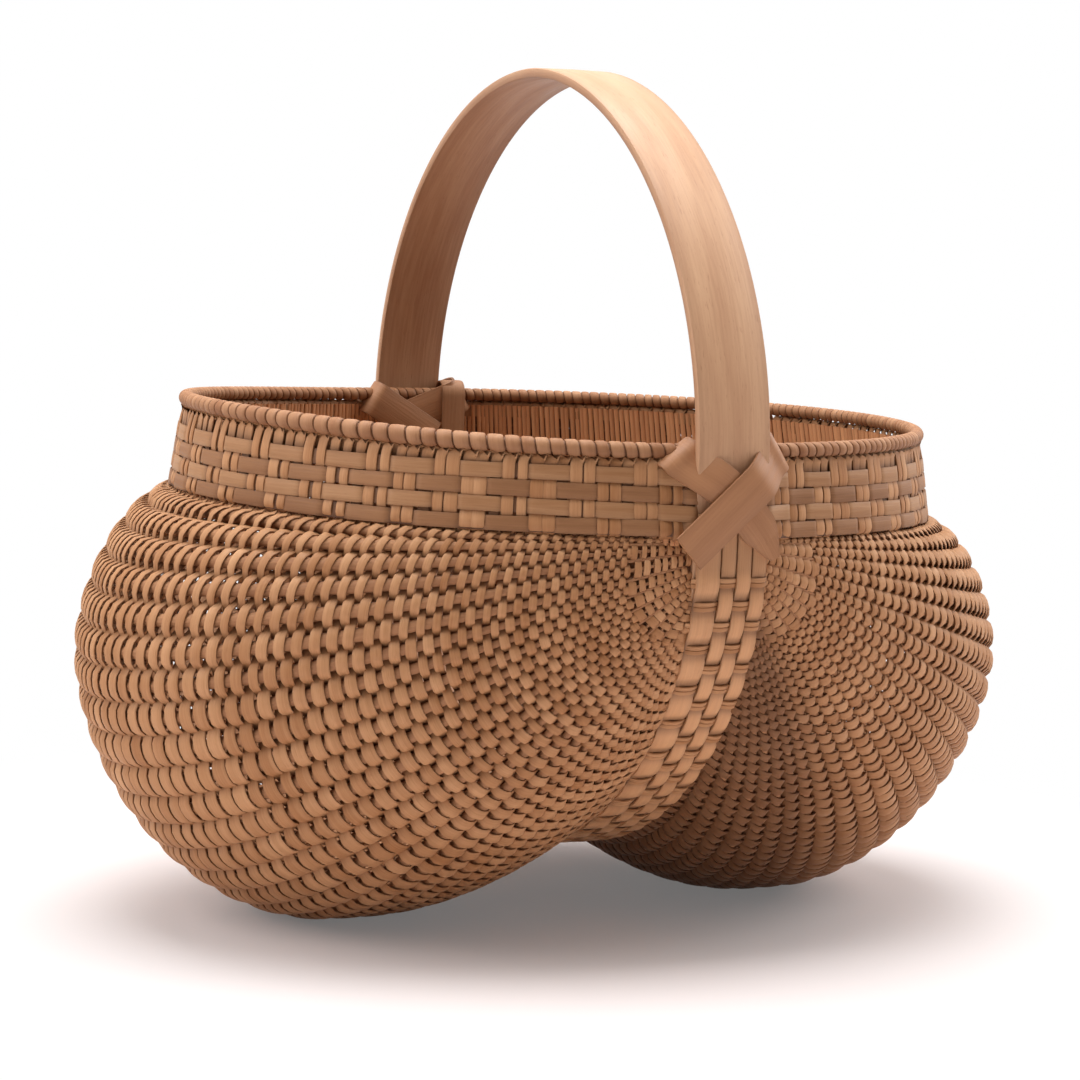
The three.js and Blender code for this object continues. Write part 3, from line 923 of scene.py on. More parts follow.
@dataclass
class RimHoop:
    """Round rod of the rim with a weaver wound closely round it."""

    shape: BasketShape
    rng: np.random.Generator
    rod_tone: float = 0.1
    rod_painted_light: float = 0.15
    wrap_thickness: float = 0.8 * MM
    wrap_turn: Range = (245.0, -78.0)
    wrap_steps: int = 19
    wrap_room: Range = (0.84, 0.93)
    wrap_tones: Range = (0.05, 1.0)
    wrap_painted_light: float = 0.72
    wrap_shading: float = 0.42
    wrap_darkest: float = 0.1
    fine_pitch: float = 3.5 * MM
    broad_pitch: float = 5.5 * MM
    uneven: Range = (0.9, 1.1)
    lean: float = 1.3 * MM
    ear_wrap_place: float = 15 * MM
    ear_wrap_width: float = 8.7 * MM
    ear_wrap_rise: float = 2.6 * MM
    ear_wrap_foot: float = 4 * MM
    ear_wrap_tone: float = 0.55
    ear_wrap_painted_light: float = 0.9
    ear_wrap_steps: tuple[int, int] = (8, 13)
    steps: int = 160
    map_rows: int = 4

    def build(self) -> None:
        """Makes the rod and the wraps."""
        s = self.shape
        angle = np.arange(self.steps) / self.steps * FULL_TURN
        rod = StripMesh()
        path = s.plan_line(angle, 0.0, s.rim_middle(angle))
        thick = 2 * (s.rim_girth(angle) - self.wrap_thickness)
        # The rod is painted with strong shade, as it sits under the wraps.
        up = np.broadcast_to(UP, path.shape)
        rod.sweep(
            path, up, thick, thick, ROD, self.rod_tone, self.rod_painted_light,
            looped=True, rows=self.map_rows,
        )
        rod.build("rim_rod", RIM_OAK, ("rim_hoop",))
        wraps = StripMesh()
        edges = self._edges()
        for start, end in zip(edges[:-1], edges[1:]):
            self._wrap(wraps, (start + end) / 2, (end - start) * s.rim_half_length)
        self._ear_wrap(wraps)
        wraps.build("rim_wraps", RIM_OAK, ("rim_hoop",), STRIP_CREASE)

    def _edges(self) -> Array:
        """Angles at which the wraps meet, further apart where the rim is stout.

        Returns:
            Angles once round the rim.
        """
        s = self.shape
        edges = [0.0]
        while edges[-1] < FULL_TURN:
            pitch = blend(self.fine_pitch, self.broad_pitch, s.stoutness(edges[-1]))
            edges.append(edges[-1] + pitch * self.rng.uniform(*self.uneven) / s.rim_half_length)
        return np.array(edges) * (FULL_TURN / edges[-1])

    def _wrap(self, wraps: StripMesh, angle: float, width: float) -> None:
        """Adds one wrap.

        Args:
            wraps: Mesh that takes it.
            angle: Angle of its middle round the rim's plan.
            width: Room for it on the rim.
        """
        s = self.shape
        girth = s.rim_girth(angle) - self.wrap_thickness / 2
        turn = np.radians(np.linspace(*self.wrap_turn, self.wrap_steps))
        around = angle + np.linspace(-1, 1, len(turn)) * self.lean / s.rim_half_length
        path = s.plan_line(around, girth * np.cos(turn), s.rim_middle(angle) + girth * np.sin(turn))
        # Painted light and shade: each wrap is paler over the top of the rim and darker underneath
        lift = np.clip(self.wrap_painted_light + self.wrap_shading * np.sin(turn), self.wrap_darkest, 1)
        tone = self.rng.uniform(*self.wrap_tones)
        wide = width * self.rng.uniform(*self.wrap_room)
        normal = s.wound_normal(path, around)
        wraps.sweep(path, normal, wide, self.wrap_thickness, PILLOW, tone, lift)

    def _ear_wrap(self, wraps: StripMesh) -> None:
        """Adds the wide wrap that holds down the strap's fold on the right of the back ear.

        Args:
            wraps: Mesh that takes it.
        """
        s = self.shape
        angle = math.pi / 2 - self.ear_wrap_place / s.rim_half_length
        middle, girth = s.rim_middle(angle), s.rim_girth(angle) + self.ear_wrap_rise
        up_steps, over_steps = self.ear_wrap_steps
        turn = np.linspace(math.pi, 0, over_steps)
        inner = np.linspace(s.collar_bottom + self.ear_wrap_foot, middle - MM, up_steps)
        outer = inner[:1:-1]
        offset = np.concatenate([0 * inner - girth, girth * np.cos(turn), 0 * outer + girth])
        height = np.concatenate([inner, middle + girth * np.sin(turn), outer])
        around = angle + 0 * offset
        path = s.plan_line(around, offset, height)
        # A little painted shade over the whole wrap
        wraps.sweep(
            path, s.wound_normal(path, around), self.ear_wrap_width, self.wrap_thickness, SPLIT,
            self.ear_wrap_tone, self.ear_wrap_painted_light,
        )


@dataclass
class Collar:
    """Four flat splints round one end, each over three and under two of the rim's stakes."""

    lobe: Lobe
    rng: np.random.Generator
    rows: int = 4
    row_pitch: float = 5.2 * MM
    row_width: float = 4.9 * MM
    row_shifts: tuple[int, ...] = (0, 2, 0, 2)
    top_gap: float = 0.25 * MM
    wall_depth: float = 0.7 * MM
    thickness: float = 0.7 * MM
    bevel: float = 0.16 * MM
    crown: float = 0.05 * MM
    splint_sway: float = 0.4 * MM
    splint_haste: float = 1.7
    splint_drift: Range = (0.3 * MM, 5.0)
    splint_share: float = 0.97
    width_wave: Range = (0.04, 8.0)
    broad_tones: Range = (0.3, 2.3)
    fine_tones: Range = (0.25, 9.1)
    stakes: int = 84
    crowding: float = 0.16
    cycle: int = 5
    covered: int = 3
    stake_widths: Range = (2.9 * MM, 4.3 * MM)
    stake_tones: Range = (0.05, 0.9)
    stake_thickness: float = 0.6 * MM
    stake_sway: float = 0.45 * MM
    stake_haste: float = 1.5
    stake_stray: float = 0.25 * MM
    stake_top: float = 0.45
    stake_foot: float = 0.7
    tuck_from: float = 0.3
    tuck_depth: float = 5 * MM
    fold_depth: float = 1.6 * MM
    fold_gap: float = 0.2 * MM
    fold_painted_light: float = 0.75
    fold_steps: int = 6
    inner_length: float = 4 * MM
    inner_spread: float = 0.25
    inner_painted_light: float = 0.6
    inner_steps: int = 4
    lean: float = 2.2 * MM
    ear_overlap: float = 1.5 * MM
    ear_flare: float = 3.8 * MM
    ear_length: float = 16 * MM
    lining_strips: int = 184
    lining_depth: float = 1.7 * MM
    lining_uneven: float = 0.5 * MM
    lining_gap: float = 1.4 * MM
    lining_foot: float = 2.5 * MM
    lining_stray: float = 0.2 * MM
    lining_room: Range = (0.86, 0.98)
    lining_tones: Range = (0.1, 0.95)
    lining_steps: int = 7
    samples: int = 5
    map_rows: int = 5

    @property
    def start(self) -> float:
        """Swing at which the splints stop beside the upright hoop."""
        s = self.lobe.shape
        return math.acos((s.hoop_edge - self.ear_overlap) / s.rim_half_length)

    def swing_of(self, place: Array) -> Array:
        """Swing from the lobe's end at a place counted in stakes from the front ear."""
        return crowded(place / self.stakes * 2 - 1, self.crowding) * self.start

    def angle(self, swing: Array) -> Array:
        """Angle round the rim's plan for a swing from the lobe's end toward the back."""
        return swing if self.lobe.side is Side.RIGHT else math.pi - swing

    def slope(self, angle: Array) -> Array:
        """Rise of the rows at an angle round the rim's plan."""
        return self.lobe.shape.collar_lift(self.lobe.shape.rim_half_length * np.cos(angle))

    def middle_of(self, row: Array) -> Array:
        """Height of the middle of a row before its slope."""
        return self.lobe.shape.collar_top - self.top_gap - self.row_width / 2 - row * self.row_pitch

    def wall(self, height: Array, angle: Array) -> Array:
        """Outward offset of the middle of the woven wall, which meets the hoop's face at the ears.

        Args:
            height: Heights on the wall before its slope.
            angle: Angles round the rim's plan.

        Returns:
            The offsets.
        """
        s = self.lobe.shape
        beside = np.abs(np.cos(angle)) * s.rim_half_length - s.hoop_edge
        flare = self.ear_flare * np.clip(1 - beside / self.ear_length, 0, 1) ** 2
        return s.collar_offset(height) + self.wall_depth + flare

    def over(self, row: int, stake: Array) -> Array:
        """1 where a row's splint lies over a stake and -1 where it lies under it."""
        return np.where((stake + self.row_shifts[row]) % self.cycle < self.covered, 1.0, -1.0)

    def build(self) -> None:
        """Makes the splints, the stakes and the lining."""
        for row in range(self.rows):
            self._splint(row)
        strips = StripMesh()
        for stake in range(self.stakes):
            self._stake(strips, stake)
        weave = (f"{self.lobe.name}_weave",)
        strips.build(f"{self.lobe.name}_stakes", WEAVER_OAK, weave, STRIP_CREASE)
        strips = StripMesh()
        for strip in range(self.lining_strips):
            self._lining(strips, (strip + 0.5) / self.lining_strips * self.stakes)
        strips.build(f"{self.lobe.name}_lining", LINING_OAK, weave, STRIP_CREASE)

    def _splint(self, row: int) -> None:
        """Makes one splint.

        Args:
            row: Row counted from the rim.
        """
        s = self.lobe.shape
        place = np.linspace(0, self.stakes, self.stakes * self.samples + 1)
        swing = self.swing_of(place)
        before = np.floor(place - 0.5)
        share = crossing(place - 0.5 - before, self.splint_haste)
        wave = blend(self.over(row, before), self.over(row, before + 1), share)
        broad, fine, drift, swell = self.rng.uniform(*PHASES, 4)
        height = self.middle_of(row) + wavy(swing, self.splint_drift, drift)
        angle = self.angle(swing)
        normal = s.plan_normal(angle)
        half = self.row_width / 2
        tilt = s.collar_offset(height - half) - s.collar_offset(height + half)
        path = s.plan_line(angle, self.wall(height, angle), height + self.slope(angle))
        path = path + normal * (self.splint_sway * wave)[:, None]
        across = -self.lobe.side.value * unit(UP - normal * (tilt / self.row_width)[:, None])
        profile = flat_profile(self.row_width, self.thickness, self.bevel, self.crown)
        tone = 0.5 + wavy(swing, self.broad_tones, broad) + wavy(swing, self.fine_tones, fine)
        wide = self.row_width * (self.splint_share + wavy(swing, self.width_wave, swell))
        # Painted shade where the splint passes under a stake
        lift = 0.5 + 0.5 * wave
        strips = StripMesh()
        strips.sweep(
            path, normal, wide, self.thickness, profile, tone, lift,
            across=across, rows=self.map_rows,
        )
        finish = LIGHT_SPLINT if row % 2 == 0 else BROWN_SPLINT
        name = f"{self.lobe.name}_collar_splint_{row + 1}"
        strips.build(f"{self.lobe.name}_collar_strip_{row + 1}", finish, (name,), BAND_CREASE)

    def _stake(self, strips: StripMesh, stake: int) -> None:
        """Adds one stake, which turns over under the rim and weaves down through the rows.

        Args:
            strips: Mesh that takes it.
            stake: Number of the stake, counted from the front ear.
        """
        s = self.lobe.shape
        stray = self.rng.normal(0, self.stake_stray) / s.rim_half_length
        middle = self.angle(self.swing_of(stake + 0.5)) + stray
        slope = self.slope(middle)
        base = s.rim_middle(middle) - s.rim_girth(middle) - self.fold_depth - self.fold_gap
        inner = np.linspace(base - self.inner_length, base, self.inner_steps)
        fold = np.linspace(math.pi, 0, self.fold_steps)[1:-1]
        last = self.rows - 1
        row = np.linspace(-self.stake_top, last + self.stake_foot, self.rows * self.samples + 2)
        outer = self.middle_of(row)
        levels = np.array([0.0, *(-self.over(r, np.array(stake)) for r in range(self.rows)), -1.0])
        before = np.clip(np.floor(row).astype(int), -1, last)
        share = crossing(row - before, self.stake_haste)
        wave = blend(levels[before + 1], levels[before + 2], share)
        tuck = np.clip(row - (last + self.tuck_from), 0, 1) * self.tuck_depth
        half = self.lining_depth / 2
        offset = np.concatenate([
            self.wall(inner - slope, middle) - self.lining_depth,
            self.wall(base - slope, middle) - half + half * np.cos(fold),
            self.wall(outer, middle) + self.stake_sway * wave - tuck,
        ])
        height = np.concatenate([inner, base + self.fold_depth * np.sin(fold), outer + slope])
        inside = np.concatenate([0 * inner + 1, 0.5 - 0.5 * np.cos(fold), 0 * row])
        width = self.rng.uniform(*self.stake_widths) * (1 + self.inner_spread * inside)
        # Painted shade on the part inside the wall, on the fold, and where the stake passes under a
        # splint
        lift = [0 * inner + self.inner_painted_light, 0 * fold + self.fold_painted_light, 0.5 + 0.5 * wave]
        angle = middle + inside * self.lean / s.rim_half_length
        path = s.plan_line(angle, eased(offset, 1), eased(height, 1))
        normal = s.wound_normal(path, angle)
        tone = self.rng.uniform(*self.stake_tones)
        strips.sweep(
            path, normal, eased(width), self.stake_thickness, SPLIT, tone, np.concatenate(lift)
        )

    def _lining(self, strips: StripMesh, place: float) -> None:
        """Adds one of the upright strips that line the wall.

        Args:
            strips: Mesh that takes it.
            place: Its place counted in stakes from the front ear.
        """
        s = self.lobe.shape
        apart = 0.5 * self.stakes / self.lining_strips
        edges = self.angle(self.swing_of(np.array([place - apart, place + apart])))
        angle = edges.mean() + self.rng.normal(0, self.lining_stray) / s.rim_half_length
        slope = self.slope(angle)
        top = s.rim_middle(angle) - s.rim_girth(angle) - self.lining_gap
        height = np.linspace(s.collar_bottom + slope - self.lining_foot, top, self.lining_steps)
        around = angle + np.linspace(-0.5, 0.5, len(height)) * self.lean / s.rim_half_length
        depth = self.lining_depth + self.rng.uniform(0, self.lining_uneven)
        path = s.plan_line(around, self.wall(height - slope, angle) - depth, height)
        width = abs(edges[1] - edges[0]) * s.rim_half_length * self.rng.uniform(*self.lining_room)
        tone = self.rng.uniform(*self.lining_tones)
        strips.sweep(path, -s.plan_normal(around), width, self.stake_thickness, PILLOW, tone, 1.0)


@dataclass
class LobeWeave:
    """Ribs of one lobe and the weavers that pass over and under them from the collar to the spine.

    A share of width is of the room between a weaver's neighbours. shelf_rows are counted from the
    collar, inner_rows and shade_rows from the last outer rib.
    """

    lobe: Lobe
    rng: np.random.Generator
    shelf_share: float = 1.05
    shelf_rows: Range = (3, 8)
    bulge_share: float = 1.7
    front_share: float = 1.38
    front_turns: Range = (0.3, 0.7)
    inner_share: float = 1.66
    inner_rows: Range = (-1, 2)
    inner_shade: float = 0.0
    shade_rows: Range = (-4, 1)
    tuck_share: float = 0.9
    tuck_power: float = 0.3
    slender_share: float = 0.84
    slender_odds: float = 0.15
    width_uneven: Range = (0.96, 1.04)
    widest: float = 5.9 * MM
    weavers: int = 180
    crowding: float = 0.45
    thickness: float = 0.6 * MM
    sway: float = 2.3 * MM
    sway_uneven: Range = (0.94, 1.03)
    least_sway: float = 0.1
    full_spacing: float = 8.0 * MM
    seat_gap: float = 0.2 * MM
    wander: Range = (0.07, 0.9)
    stray: float = 0.05
    tones: Range = (0.1, 0.95)
    tone_wander: Range = (0.12, 0.7)
    ear_margin: float = 0.4 * MM
    hoop_touch: float = 0.2 * MM
    hoop_tuck: float = 1.8 * MM
    coarse_from: float = 0.2
    coarse_share: float = 1.25
    crest: float = 0.5
    shortest: int = 4
    samples: int = 5
    rib_steps: int = 60
    rib_gap: float = 0.1 * MM
    rib_slimmest: float = 0.45 * MM
    rib_spread: float = 1.15
    rib_tones: Range = (0.2, 0.9)
    rib_painted_light: float = 0.8

    def turns(self) -> Array:
        """Turns of the weavers, one each.

        Returns:
            Turns from ear to ear, closer together near the ears.
        """
        place = (np.arange(self.weavers) + 0.5) / self.weavers * 2 - 1
        return crowded(place, self.crowding) * self.lobe.turn_beside(self.ear_margin)

    def swing_at(self, spacing: Array) -> Array:
        """How far weavers sway out and in where ribs are that far apart."""
        return self.sway * np.minimum(1, spacing / self.full_spacing)

    def settle(self, row: Array) -> Array:
        """Share of the sway that is left at a row, small where the weave meets the spine."""
        return np.clip(self.lobe.rows - 0.5 - row, self.least_sway, 1)

    def seat(self, sway: Array) -> Array:
        """Depth of the ribs' middle line below the lobe's outer face."""
        return sway + self.thickness / 2 + self.seat_gap

    def past_outer(self, row: Array, rows: Range) -> Array:
        """0 to 1 over a range of rows that is counted from the last outer rib."""
        return ramp(row - self.lobe.outer_ribs, *rows)

    def build(self) -> None:
        """Makes the ribs and the weavers."""
        lobe = self.lobe
        weave = (f"{lobe.name}_weave",)
        long_rows = [lobe.row_of(rib) for rib in range(lobe.ribs)]
        for rib, row in enumerate(long_rows):
            strips = StripMesh()
            self._rod(strips, row)
            number = f"{rib + 1:02d}"
            strips.build(f"{lobe.name}_rib_rod_{number}", RIB_OAK, (f"{lobe.name}_rib_{number}",))
        strips = StripMesh()
        for row in range(lobe.rows):
            if row not in long_rows:
                self._rod(strips, row)
        strips.build(f"{lobe.name}_short_ribs", RIB_OAK, weave)
        turns = self.turns()
        for first, label in enumerate(("odd", "even")):
            strips = StripMesh()
            for number in range(first, self.weavers, 2):
                self._weaver(strips, number, turns)
            strips.build(f"{lobe.name}_weavers_{label}", WEAVER_OAK, weave, STRIP_CREASE)

    def _rod(self, strips: StripMesh, row: int) -> None:
        """Adds the tapered rod that carries one row.

        Args:
            strips: Mesh that takes it.
            row: Number of the row, counted from the collar.
        """
        lobe = self.lobe
        above, here, below = lobe.stage_of(np.array([row - 0.5, row, row + 0.5], float))
        limit = lobe.turn_beside(self.ear_margin)
        turn = np.linspace(-limit, limit, 4 * self.rib_steps)
        spacing = np.linalg.norm(lobe.outer(below, turn) - lobe.outer(above, turn), axis=1)
        sway = self.swing_at(spacing) * self.settle(row)
        normal = lobe.normal(here, turn)
        path = lobe.outer(here, turn) - normal * self.seat(sway)[:, None]
        radius = np.maximum(sway - self.thickness / 2 - self.rib_gap, self.rib_slimmest)
        free = np.abs(path[:, 0] - lobe.shape.middle) > lobe.shape.hoop_edge + radius
        path, normal, thick = path[free], normal[free], 2 * radius[free]
        keep = np.linspace(0, len(path) - 1, self.rib_steps).round().astype(int)
        path, normal, thick = path[keep], normal[keep], thick[keep]
        tone = self.rng.uniform(*self.rib_tones)
        # Slight painted shade on the rods, which lie under the weavers
        strips.sweep(path, normal, self.rib_spread * thick, thick, ROD, tone, self.rib_painted_light)

    def _share(self, row: Array, frontal: float, coarse: bool) -> Array:
        """Share of its room that a weaver covers where it lies over a rib.

        Args:
            row: Rows along it.
            frontal: How near it is to an ear, 0 to 1.
            coarse: True if it passes over two ribs at a time.

        Returns:
            The shares along it.
        """
        bulge = blend(self.bulge_share, self.front_share, ramp(frontal, *self.front_turns))
        share = blend(self.shelf_share, bulge, ramp(row, *self.shelf_rows))
        share = blend(share, self.inner_share, self.past_outer(row, self.inner_rows))
        return share * (self.coarse_share if coarse else 1)

    def _weaver(self, strips: StripMesh, number: int, turns: Array) -> None:
        """Adds one weaver.

        Args:
            strips: Mesh that takes it.
            number: Number of the weaver, counted from the front ear.
            turns: Turns of all weavers.
        """
        lobe, shape = self.lobe, self.lobe.shape
        step = np.gradient(turns)[number]
        row = np.linspace(-0.5, lobe.rows - 0.5, lobe.rows * self.samples + 1)
        wander = wavy(row, self.wander, self.rng.uniform(*PHASES))
        turn = turns[number] + (wander + self.rng.normal(0, self.stray)) * step
        stage = lobe.stage_of(row)
        face = lobe.outer(stage, turn)
        beside = np.abs(face[:, 0] - shape.middle) >= shape.hoop_edge - self.hoop_touch
        end = len(row) if beside.all() else int(np.argmin(beside))
        if end < self.shortest:
            return
        row, stage, face, turn = row[:end], stage[:end], face[:end], turn[:end]
        normal = lobe.normal(stage, turn)
        coarse = float(lobe.shrink(turns[number])) < self.coarse_from
        ribs = 2 if coarse else 1
        wave = signed_power(np.cos(math.pi * (row / ribs + number)), self.crest)
        spacing = np.linalg.norm(np.gradient(face, axis=0), axis=1) * self.samples
        sway = self.swing_at(spacing * ribs) * self.settle(row)
        sway = sway * self.rng.uniform(*self.sway_uneven)
        path = face + normal * (sway * wave - self.seat(sway))[:, None]
        apart = lobe.outer(stage, turn + step / 2) - lobe.outer(stage, turn - step / 2)
        share = self._share(row, abs(turns[number] / turns[-1]), coarse)
        wide = np.minimum(share * np.linalg.norm(apart, axis=1), self.widest)
        wide = wide * self.rng.choice(
            [1.0, self.slender_share], p=[1 - self.slender_odds, self.slender_odds]
        )
        wide = wide * blend(self.tuck_share, 1.0, np.clip(wave, 0, 1) ** self.tuck_power)
        tone = self.rng.uniform(*self.tones)
        tone = tone + wavy(row, self.tone_wander, self.rng.uniform(*PHASES))
        wide = wide * self.rng.uniform(*self.width_uneven)
        # Painted shade: the rows under the arch, where the other lobe shadows them, are darker in
        # tone and lift
        light = 1 - self.inner_shade * self.past_outer(row, self.shade_rows)
        # Painted shade on the outer face where the weaver dives under a rib, and on its inner face
        # where it lies over one
        facing = np.where(SPLIT[None, :, 1] > 0, 1, -1)
        lift = (0.5 + 0.5 * wave[:, None] * facing) * light[:, None]
        tip = shape.hoop_beside(path[-1], lobe.side.value * (shape.hoop_edge - self.hoop_tuck))
        path = np.vstack([path, tip])
        normal, lift = (np.vstack([values, values[-1:]]) for values in (normal, lift))
        wide, tone = (np.append(values, values[-1]) for values in (wide, tone * light))
        strips.sweep(path, normal, wide, self.thickness, SPLIT, tone, lift)


@dataclass
class Spine:
    """Four flat strips along the outside of the upright hoop, crossed by thin weavers in pairs."""

    shape: BasketShape
    rng: np.random.Generator
    shares: tuple[int, ...] = (5, 3, 3, 3)
    gap: float = 0.5 * MM
    thickness: float = 0.9 * MM
    bevel: float = 0.22 * MM
    crown: float = 0.05 * MM
    layer: float = 0.6 * MM
    top: float = 147 * MM
    plain: float = 17 * MM
    sway: float = 0.5 * MM
    crest: float = 0.6
    tones: Range = (0.75, 1.15)
    lift: float = 0.55
    shading: float = 0.45
    pair_pitch: float = 7.2 * MM
    pair_stray: float = 0.25 * MM
    weaver_width: float = 1.45 * MM
    weaver_apart: float = 1.5 * MM
    weaver_thickness: float = 0.7 * MM
    weaver_sway: float = 0.8 * MM
    weaver_crest: float = 0.7
    weaver_tones: Range = (0.1, 0.9)
    weaver_overhang: float = 0.6 * MM
    weaver_steps: int = 33
    first_apart: float = 6 * MM
    tuck_range: Range = (-0.4 * MM, 0.6 * MM)
    tuck_depth: float = 1.2 * MM
    ear_turn: float = 0.004
    line_steps: int = 1201
    steps: int = 300
    map_rows: int = 5

    def build(self) -> None:
        """Makes the strips and the cross weavers."""
        s = self.shape
        line, normal = self._line()
        run = run_along(line)
        total = s.hoop_width - 2 * s.clearance
        covered = total - (len(self.shares) - 1) * self.gap
        widths = [covered * share / sum(self.shares) for share in self.shares]
        lefts = [-total / 2 + sum(widths[:i]) + i * self.gap for i in range(len(widths))]
        middles = [left + width / 2 for left, width in zip(lefts, widths)]
        wall = s.clearance + self.layer
        place = np.linspace(0, run[-1], self.steps)
        out = unit(point_at(place, run, normal))
        pair = (place - self.plain) / self.pair_pitch - 0.5
        inward = np.minimum(place, run[-1] - place)
        woven = ramp(inward, self.plain, self.plain + self.pair_pitch / 2)
        for index, (width, middle) in enumerate(zip(widths, middles)):
            wave = signed_power(np.cos(math.pi * (pair + index)), self.crest) * woven
            rise = blend(s.clearance + self.thickness / 2, wall, woven) - self.sway * wave
            path = point_at(place, run, line) + out * rise[:, None]
            path[:, 0] += middle
            profile = flat_profile(width, self.thickness, self.bevel, self.crown)
            # Painted shade where a strip dives under the cross weavers, less where it rises over
            # them
            tone, lift = self.rng.uniform(*self.tones), self.lift - self.shading * wave
            strips = StripMesh()
            strips.sweep(path, out, width, self.thickness, profile, tone, lift, rows=self.map_rows)
            nodes = (f"spine_splint_{index + 1}",)
            strips.build(f"spine_strip_{index + 1}", SPINE_OAK, nodes, BAND_CREASE)
        self._weavers(run, line, normal, middles, wall)

    def _line(self) -> tuple[Array, Array]:
        """Line of the strips, from under the straps of one ear down and up to those of the other.

        Returns:
            Points on the hoop's outer face and the directions out of it.
        """
        s = self.shape
        turn = math.pi / 2 + np.linspace(self.ear_turn, math.pi - self.ear_turn, self.line_steps)
        line, normal = s.hoop_line(turn), s.hoop_normal(turn)
        ends = line[[0, -1]].copy()
        ends[:, 2] = self.top
        sides = np.stack([0 * ends[:, 1], np.sign(ends[:, 1]), 0 * ends[:, 1]], -1)
        line = np.concatenate([ends[:1], line, ends[1:]])
        return line, np.concatenate([sides[:1], normal, sides[1:]])

    def _weavers(
        self, run: Array, line: Array, normal: Array, middles: list[float], wall: float
    ) -> None:
        """Makes the cross weavers.

        Args:
            run: Distances along the spine.
            line: Points at those distances.
            normal: Directions out of the hoop there.
            middles: Places of the strips across the spine.
            wall: Height of the woven layer above the hoop.
        """
        s = self.shape
        strips = StripMesh()
        reach = s.hoop_edge + self.weaver_overhang
        x = np.linspace(-reach, reach, self.weaver_steps)
        knots = [middles[0] - self.first_apart, *middles, 2 * middles[-1] - middles[-2]]
        index = np.interp(x, knots, np.arange(-1, len(middles) + 1))
        tuck = self.tuck_depth * ramp(np.abs(x) - s.hoop_width / 2, *self.tuck_range)
        for pair in range(int((run[-1] - 2 * self.plain) / self.pair_pitch)):
            middle = self.plain + (pair + 0.5) * self.pair_pitch
            middle = middle + self.rng.normal(0, self.pair_stray)
            wave = signed_power(np.cos(math.pi * (index + pair)), self.weaver_crest)
            rise = wall + self.weaver_sway * wave - tuck
            for side in (-0.5, 0.5):
                here = middle + side * self.weaver_apart + 0 * x
                out = unit(point_at(here, run, normal))
                path = point_at(here, run, line) + out * rise[:, None]
                path[:, 0] += x
                # Painted shade where a cross weaver dives under a strip
                tone, lift = self.rng.uniform(*self.weaver_tones), 0.5 + 0.5 * wave
                strips.sweep(path, out, self.weaver_width, self.weaver_thickness, SPLIT, tone, lift)
        strips.build("spine_weavers", WEAVER_OAK, (), STRIP_CREASE)


